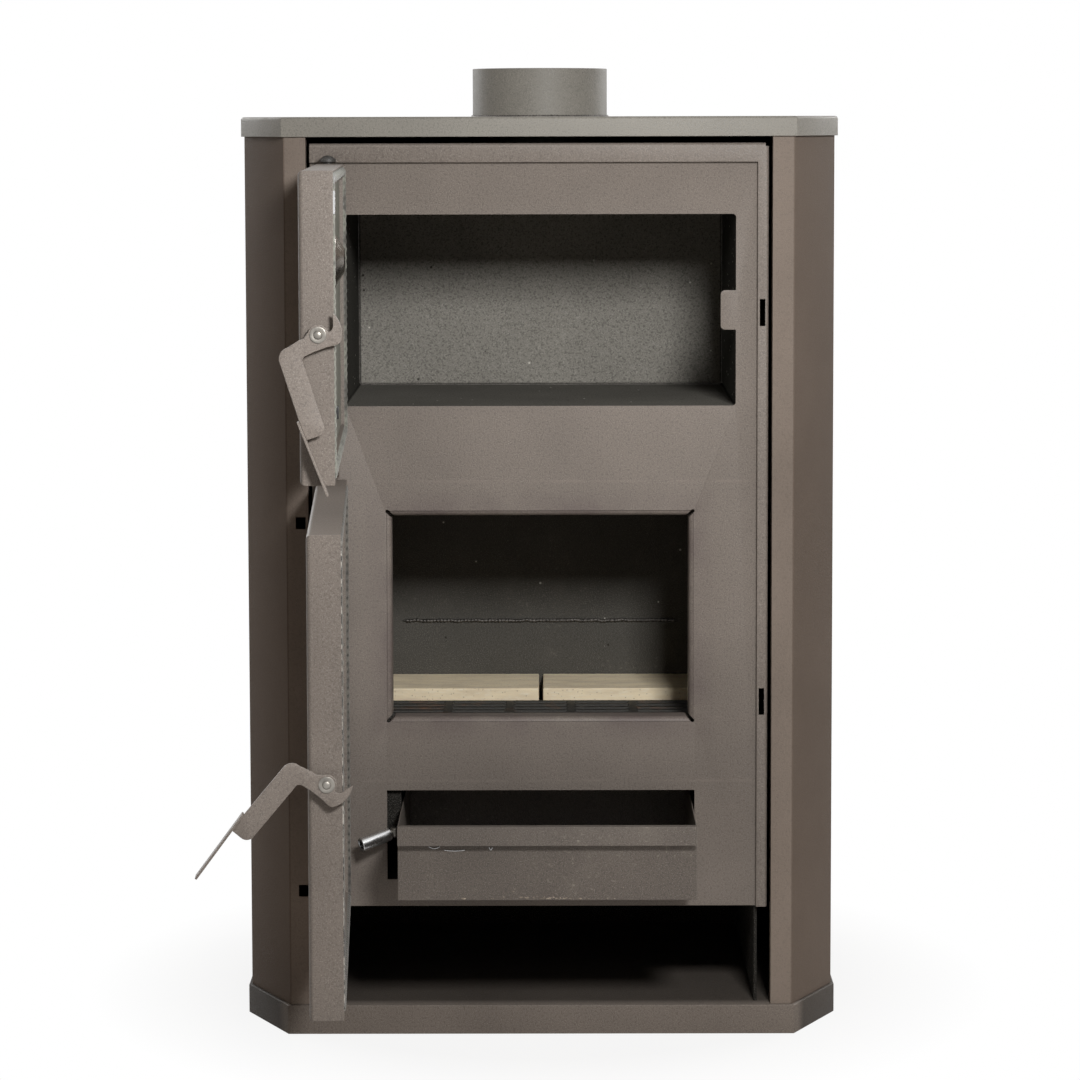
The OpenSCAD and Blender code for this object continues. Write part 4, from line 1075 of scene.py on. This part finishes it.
class STOVE_OT_grate(Operator):
    """Casts the grate's top with its long slots"""
    bl_idname = "stove.grate"
    bl_label = "Grate"

    def execute(self, context):
        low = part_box("grate")[0]
        columns, rows = lines_from(low.x, GRATE_COLUMNS), lines_from(low.y, GRATE_ROWS)
        across, along = len(GRATE_COLUMNS), len(GRATE_ROWS)
        bm = bmesh.new()
        bmesh.ops.create_grid(bm, x_segments=across, y_segments=along, size=0.5)
        slots = [face for face in bm.faces
                 if math.floor((face.calc_center_median().x + 0.5) * across) % 2
                 and math.floor((face.calc_center_median().y + 0.5) * along) % 2]
        for vert in bm.verts:
            vert.co = Vector((columns[round((vert.co.x + 0.5) * across)],
                              rows[round((vert.co.y + 0.5) * along)], GRATE_TOP))
        bmesh.ops.delete(bm, geom=slots, context="FACES")
        made = bmesh.ops.extrude_face_region(bm, geom=bm.faces[:])["geom"]
        bmesh.ops.translate(bm, vec=(0, 0, low.z - GRATE_TOP),
                            verts=[item for item in made if isinstance(item, bmesh.types.BMVert)])
        outward(bm)
        bmesh.ops.dissolve_limit(bm, angle_limit=0.02, verts=bm.verts, edges=bm.edges)
        rounded(bm, GRATE_ROUND)
        finished("grate_casting", bm, "Cast iron", "grate", ("grate",))
        return {"FINISHED"}


SPATTER, SPATTER_INSET, SPATTER_LOW, SPATTER_SHAPE = 64, 0.004, 0.0012, (1.7, 0.7, 0.8)
# each curl of swarf: where it starts, how far it reaches and how deep it hangs
CURLS = ((-0.100, 0.1912, 0.010, 0.0018), (-0.086, 0.1880, 0.018, 0.0008),
         (-0.046, 0.1905, 0.003, 0.0025))
CURL_RADIUS = 0.00028


class STOVE_OT_swarf(Operator):
    """Leaves weld spatter along the ash drawer's seam and curls of swarf under its lip"""
    bl_idname = "stove.swarf"
    bl_label = "Swarf and spatter"

    def execute(self, context):
        low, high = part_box("ash_drawer")
        bm = bmesh.new()
        for k in range(SPATTER):
            along = 0.5 + 0.5 * rough(11.0, k, 3.7)
            size = (0.0004 + 0.0005 * abs(rough(13.0, k, 5.3))) * (2 if k % 9 == 0 else 1)
            lift = abs(rough(17.0, k, 2.9)) * (0.004 if k % 5 else 0.016)
            ball = bmesh.ops.create_icosphere(bm, subdivisions=1, radius=size)["verts"]
            bmesh.ops.scale(bm, vec=SPATTER_SHAPE, verts=ball)
            x = low.x + SPATTER_INSET + along * (high.x - low.x - 2 * SPATTER_INSET)
            bmesh.ops.translate(bm, vec=(x, DRAWER_FACE, low.z + SPATTER_LOW + lift), verts=ball)
        finished("drawer_spatter", bm, "Weld spatter", "ash_drawer")
        bm = bmesh.new()
        for x, z, reach, drop in CURLS:
            curl = [Vector((x + reach * k / 8, DRAWER_FACE - 0.0003, z - drop * math.sin(k / 2.6)))
                    for k in range(9)]
            swept(bm, curl, BACKWARD, 6, 0.0008, lambda distance, turn: CURL_RADIUS)
        outward(bm)
        finished("drawer_swarf", bm, "Bright plate", "ash_drawer", sharp=60)
        return {"FINISHED"}


SOCKET_BORE, THREAD_PITCH, THREAD_TURNS, THREAD_STEPS = 0.0151, 0.002309, 9, 36
THREAD_RIDGE = ((0.0002, -0.00095), (-0.0011, -0.00015), (-0.0011, 0.00015), (0.0002, 0.00095))


class STOVE_OT_threads(Operator):
    """Winds the ridge of the pipe thread inside each of the two water sockets"""
    bl_idname = "stove.threads"
    bl_label = "Socket threads"

    def execute(self, context):
        for name in ("flow_socket", "return_socket"):
            low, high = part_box(name)
            start = high.y - 0.001 - THREAD_PITCH * (THREAD_TURNS + 0.5)
            middle = Vector(((low.x + high.x) / 2, start, (low.z + high.z) / 2))
            bm = bmesh.new()
            verts = [bm.verts.new(middle + Vector((SOCKET_BORE + out, run, 0)))
                     for out, run in THREAD_RIDGE]
            edges = [bm.edges.new((verts[k - 1], verts[k])) for k in range(4)]
            bmesh.ops.spin(bm, geom=verts + edges, cent=middle, axis=BACKWARD,
                           dvec=(0, THREAD_PITCH / THREAD_STEPS, 0),
                           angle=2 * math.pi * THREAD_TURNS, steps=THREAD_STEPS * THREAD_TURNS)
            capped(bm, 4)
            outward(bm)
            finished(f"{name}_thread", bm, "Pipe steel", "stove")
        return {"FINISHED"}


FLOOR_REACH, AIM = 30.0, (0.0, 0.1, 0.45)
KEY_PLACE, KEY_SIZE = (0.35, -1.49, 1.16), 0.26
REAR_PLACE, REAR_SIZE = (2.0, 2.0, 1.6), 1.4
LENS, SENSOR, SHIFT, FARTHEST = 107.91, 36.0, -0.15, 60
CAMERA_ASIDE, CAMERA_TURN, CAMERA_TILT, CAMERA_ROLL = 0.0109, 0.0036, -0.08, -0.0024


class STOVE_OT_studio(Operator):
    """Makes the floor, the lamps, the room light and the camera"""
    bl_idname = "stove.studio"
    bl_label = "Studio"

    def execute(self, context):
        s = context.scene.stove_studio
        bm = bmesh.new()
        bmesh.ops.create_grid(bm, x_segments=1, y_segments=1, size=FLOOR_REACH)
        mesh = bpy.data.meshes.new("floor")
        bm.to_mesh(mesh)
        bm.free()
        floor = bpy.data.objects.new("floor", mesh)
        context.scene.collection.objects.link(floor)
        floor_material(mesh)
        room_light(context.scene, s.world)
        lamp("key", KEY_PLACE, (AIM[0], FRONT, AIM[2]), KEY_SIZE, s.key)
        for side in (-1, 1):
            lamp(f"rear_{side + 1}", (side * REAR_PLACE[0], *REAR_PLACE[1:]), AIM, REAR_SIZE,
                 s.rear)
        data = bpy.data.cameras.new("camera")
        data.lens, data.sensor_width, data.shift_y, data.clip_end = LENS, SENSOR, SHIFT, FARTHEST
        camera = bpy.data.objects.new("camera", data)
        camera.matrix_world = (
            Matrix.Translation((CAMERA_ASIDE, FRONT - s.distance, s.height))
            @ Matrix.Rotation(CAMERA_TURN, 4, "Z")
            @ Matrix.Rotation(math.pi / 2 + CAMERA_TILT, 4, "X")
            @ Matrix.Rotation(CAMERA_ROLL, 4, "Z"))
        context.scene.collection.objects.link(camera)
        context.scene.camera = camera
        context.scene.view_settings.view_transform = "Standard"
        return {"FINISHED"}


def backdrop_mask(tree):
    """1 where a ray comes straight from the camera, a mirror or a glass."""
    path = tree.nodes.new("ShaderNodeLightPath")
    seen = math_node(tree, "MAXIMUM", path.outputs["Is Camera Ray"], path.outputs["Is Glossy Ray"])
    return math_node(tree, "MAXIMUM", seen, path.outputs["Is Transmission Ray"])


def white_where_seen(tree, shaded, kind, share, output):
    """Mixes a surface or background with plain white of that kind of node, by the share."""
    white = add(tree, kind, in_Color=WHITE, in_Strength=1.0)
    both = add(tree, "ShaderNodeMixShader", [(0, share), (1, shaded.outputs[0]),
                                             (2, white.outputs[0])])
    tree.links.new(both.outputs[0], tree.nodes[output].inputs["Surface"])


def floor_material(mesh):
    """Pale floor that keeps the object's shadow and is white farther away."""
    material, tree, shader, place = new_material("Studio floor", Roughness=0.9,
                                                 Specular_IOR_Level=0.1)
    feed(tree, shader, mix(tree, ramp(tree, noise(tree, place, 2.0), 0.3, 0.7),
                           (0.50, 0.46, 0.42), (0.56, 0.52, 0.48)))
    away = add(tree, "ShaderNodeVectorMath", [(0, place)], operation="LENGTH").outputs["Value"]
    share = product(tree, backdrop_mask(tree), ramp(tree, away, 0.28, 0.44, 0.88, 1.0))
    white_where_seen(tree, shader, "ShaderNodeEmission", share, "Material Output")
    mesh.materials.append(material)


def room_light(scene, strength):
    """Even room light, white where it is seen."""
    world = bpy.data.worlds.new("room")
    scene.world = world
    world.use_nodes = True
    tree = world.node_tree
    back = tree.nodes["Background"]
    back.inputs["Color"].default_value = (1.0, 0.86, 0.73, 1)
    back.inputs["Strength"].default_value = strength
    white_where_seen(tree, back, "ShaderNodeBackground", backdrop_mask(tree), "World Output")


def lamp(name, place, target, size, power):
    """A square lamp that faces the target."""
    data = bpy.data.lights.new(name, "AREA")
    data.shape = "SQUARE"
    data.size, data.energy = size, power
    obj = bpy.data.objects.new(name, data)
    look = (Vector(target) - Vector(place)).to_track_quat("-Z", "Y")
    obj.matrix_world = Matrix.Translation(place) @ look.to_matrix().to_4x4()
    bpy.context.scene.collection.objects.link(obj)


class STOVE_PT_panel(Panel):
    """Lists the steps that dress the stove, and their settings"""
    bl_idname = "STOVE_PT_panel"
    bl_label = "Boiler stove"
    bl_space_type = "VIEW_3D"
    bl_region_type = "UI"
    bl_category = "Stove"

    def draw(self, context):
        for step in STEPS:
            self.layout.operator(step.bl_idname)
        for name in SETTINGS:
            settings = getattr(context.scene, name)
            for key in settings.bl_rna.properties.keys():
                if key not in {"rna_type", "name"}:
                    self.layout.prop(settings, key)


STEPS = (STOVE_OT_finishes, STOVE_OT_edges, STOVE_OT_ropes, STOVE_OT_welds, STOVE_OT_rivets,
         STOVE_OT_dial, STOVE_OT_dish, STOVE_OT_grate, STOVE_OT_swarf, STOVE_OT_threads,
         STOVE_OT_studio)
SETTINGS = {"stove_finish": StoveFinish, "stove_rope": StoveRope, "stove_studio": StoveStudio}


def register():
    for cls in (*SETTINGS.values(), *STEPS, STOVE_PT_panel):
        bpy.utils.register_class(cls)
    for name, cls in SETTINGS.items():
        setattr(bpy.types.Scene, name, PointerProperty(type=cls))


def unregister():
    for name in SETTINGS:
        delattr(bpy.types.Scene, name)
    for cls in (STOVE_PT_panel, *reversed(STEPS), *SETTINGS.values()):
        bpy.utils.unregister_class(cls)


def main():
    register()
    bpy.ops.stove.finishes()
    bpy.ops.stove.edges()
    bpy.ops.stove.ropes()
    bpy.ops.stove.welds()
    bpy.ops.stove.rivets()
    bpy.ops.stove.dial()
    bpy.ops.stove.dish()
    bpy.ops.stove.grate()
    bpy.ops.stove.swarf()
    bpy.ops.stove.threads()
    bpy.ops.stove.studio()


if __name__ == "__main__":
    main()
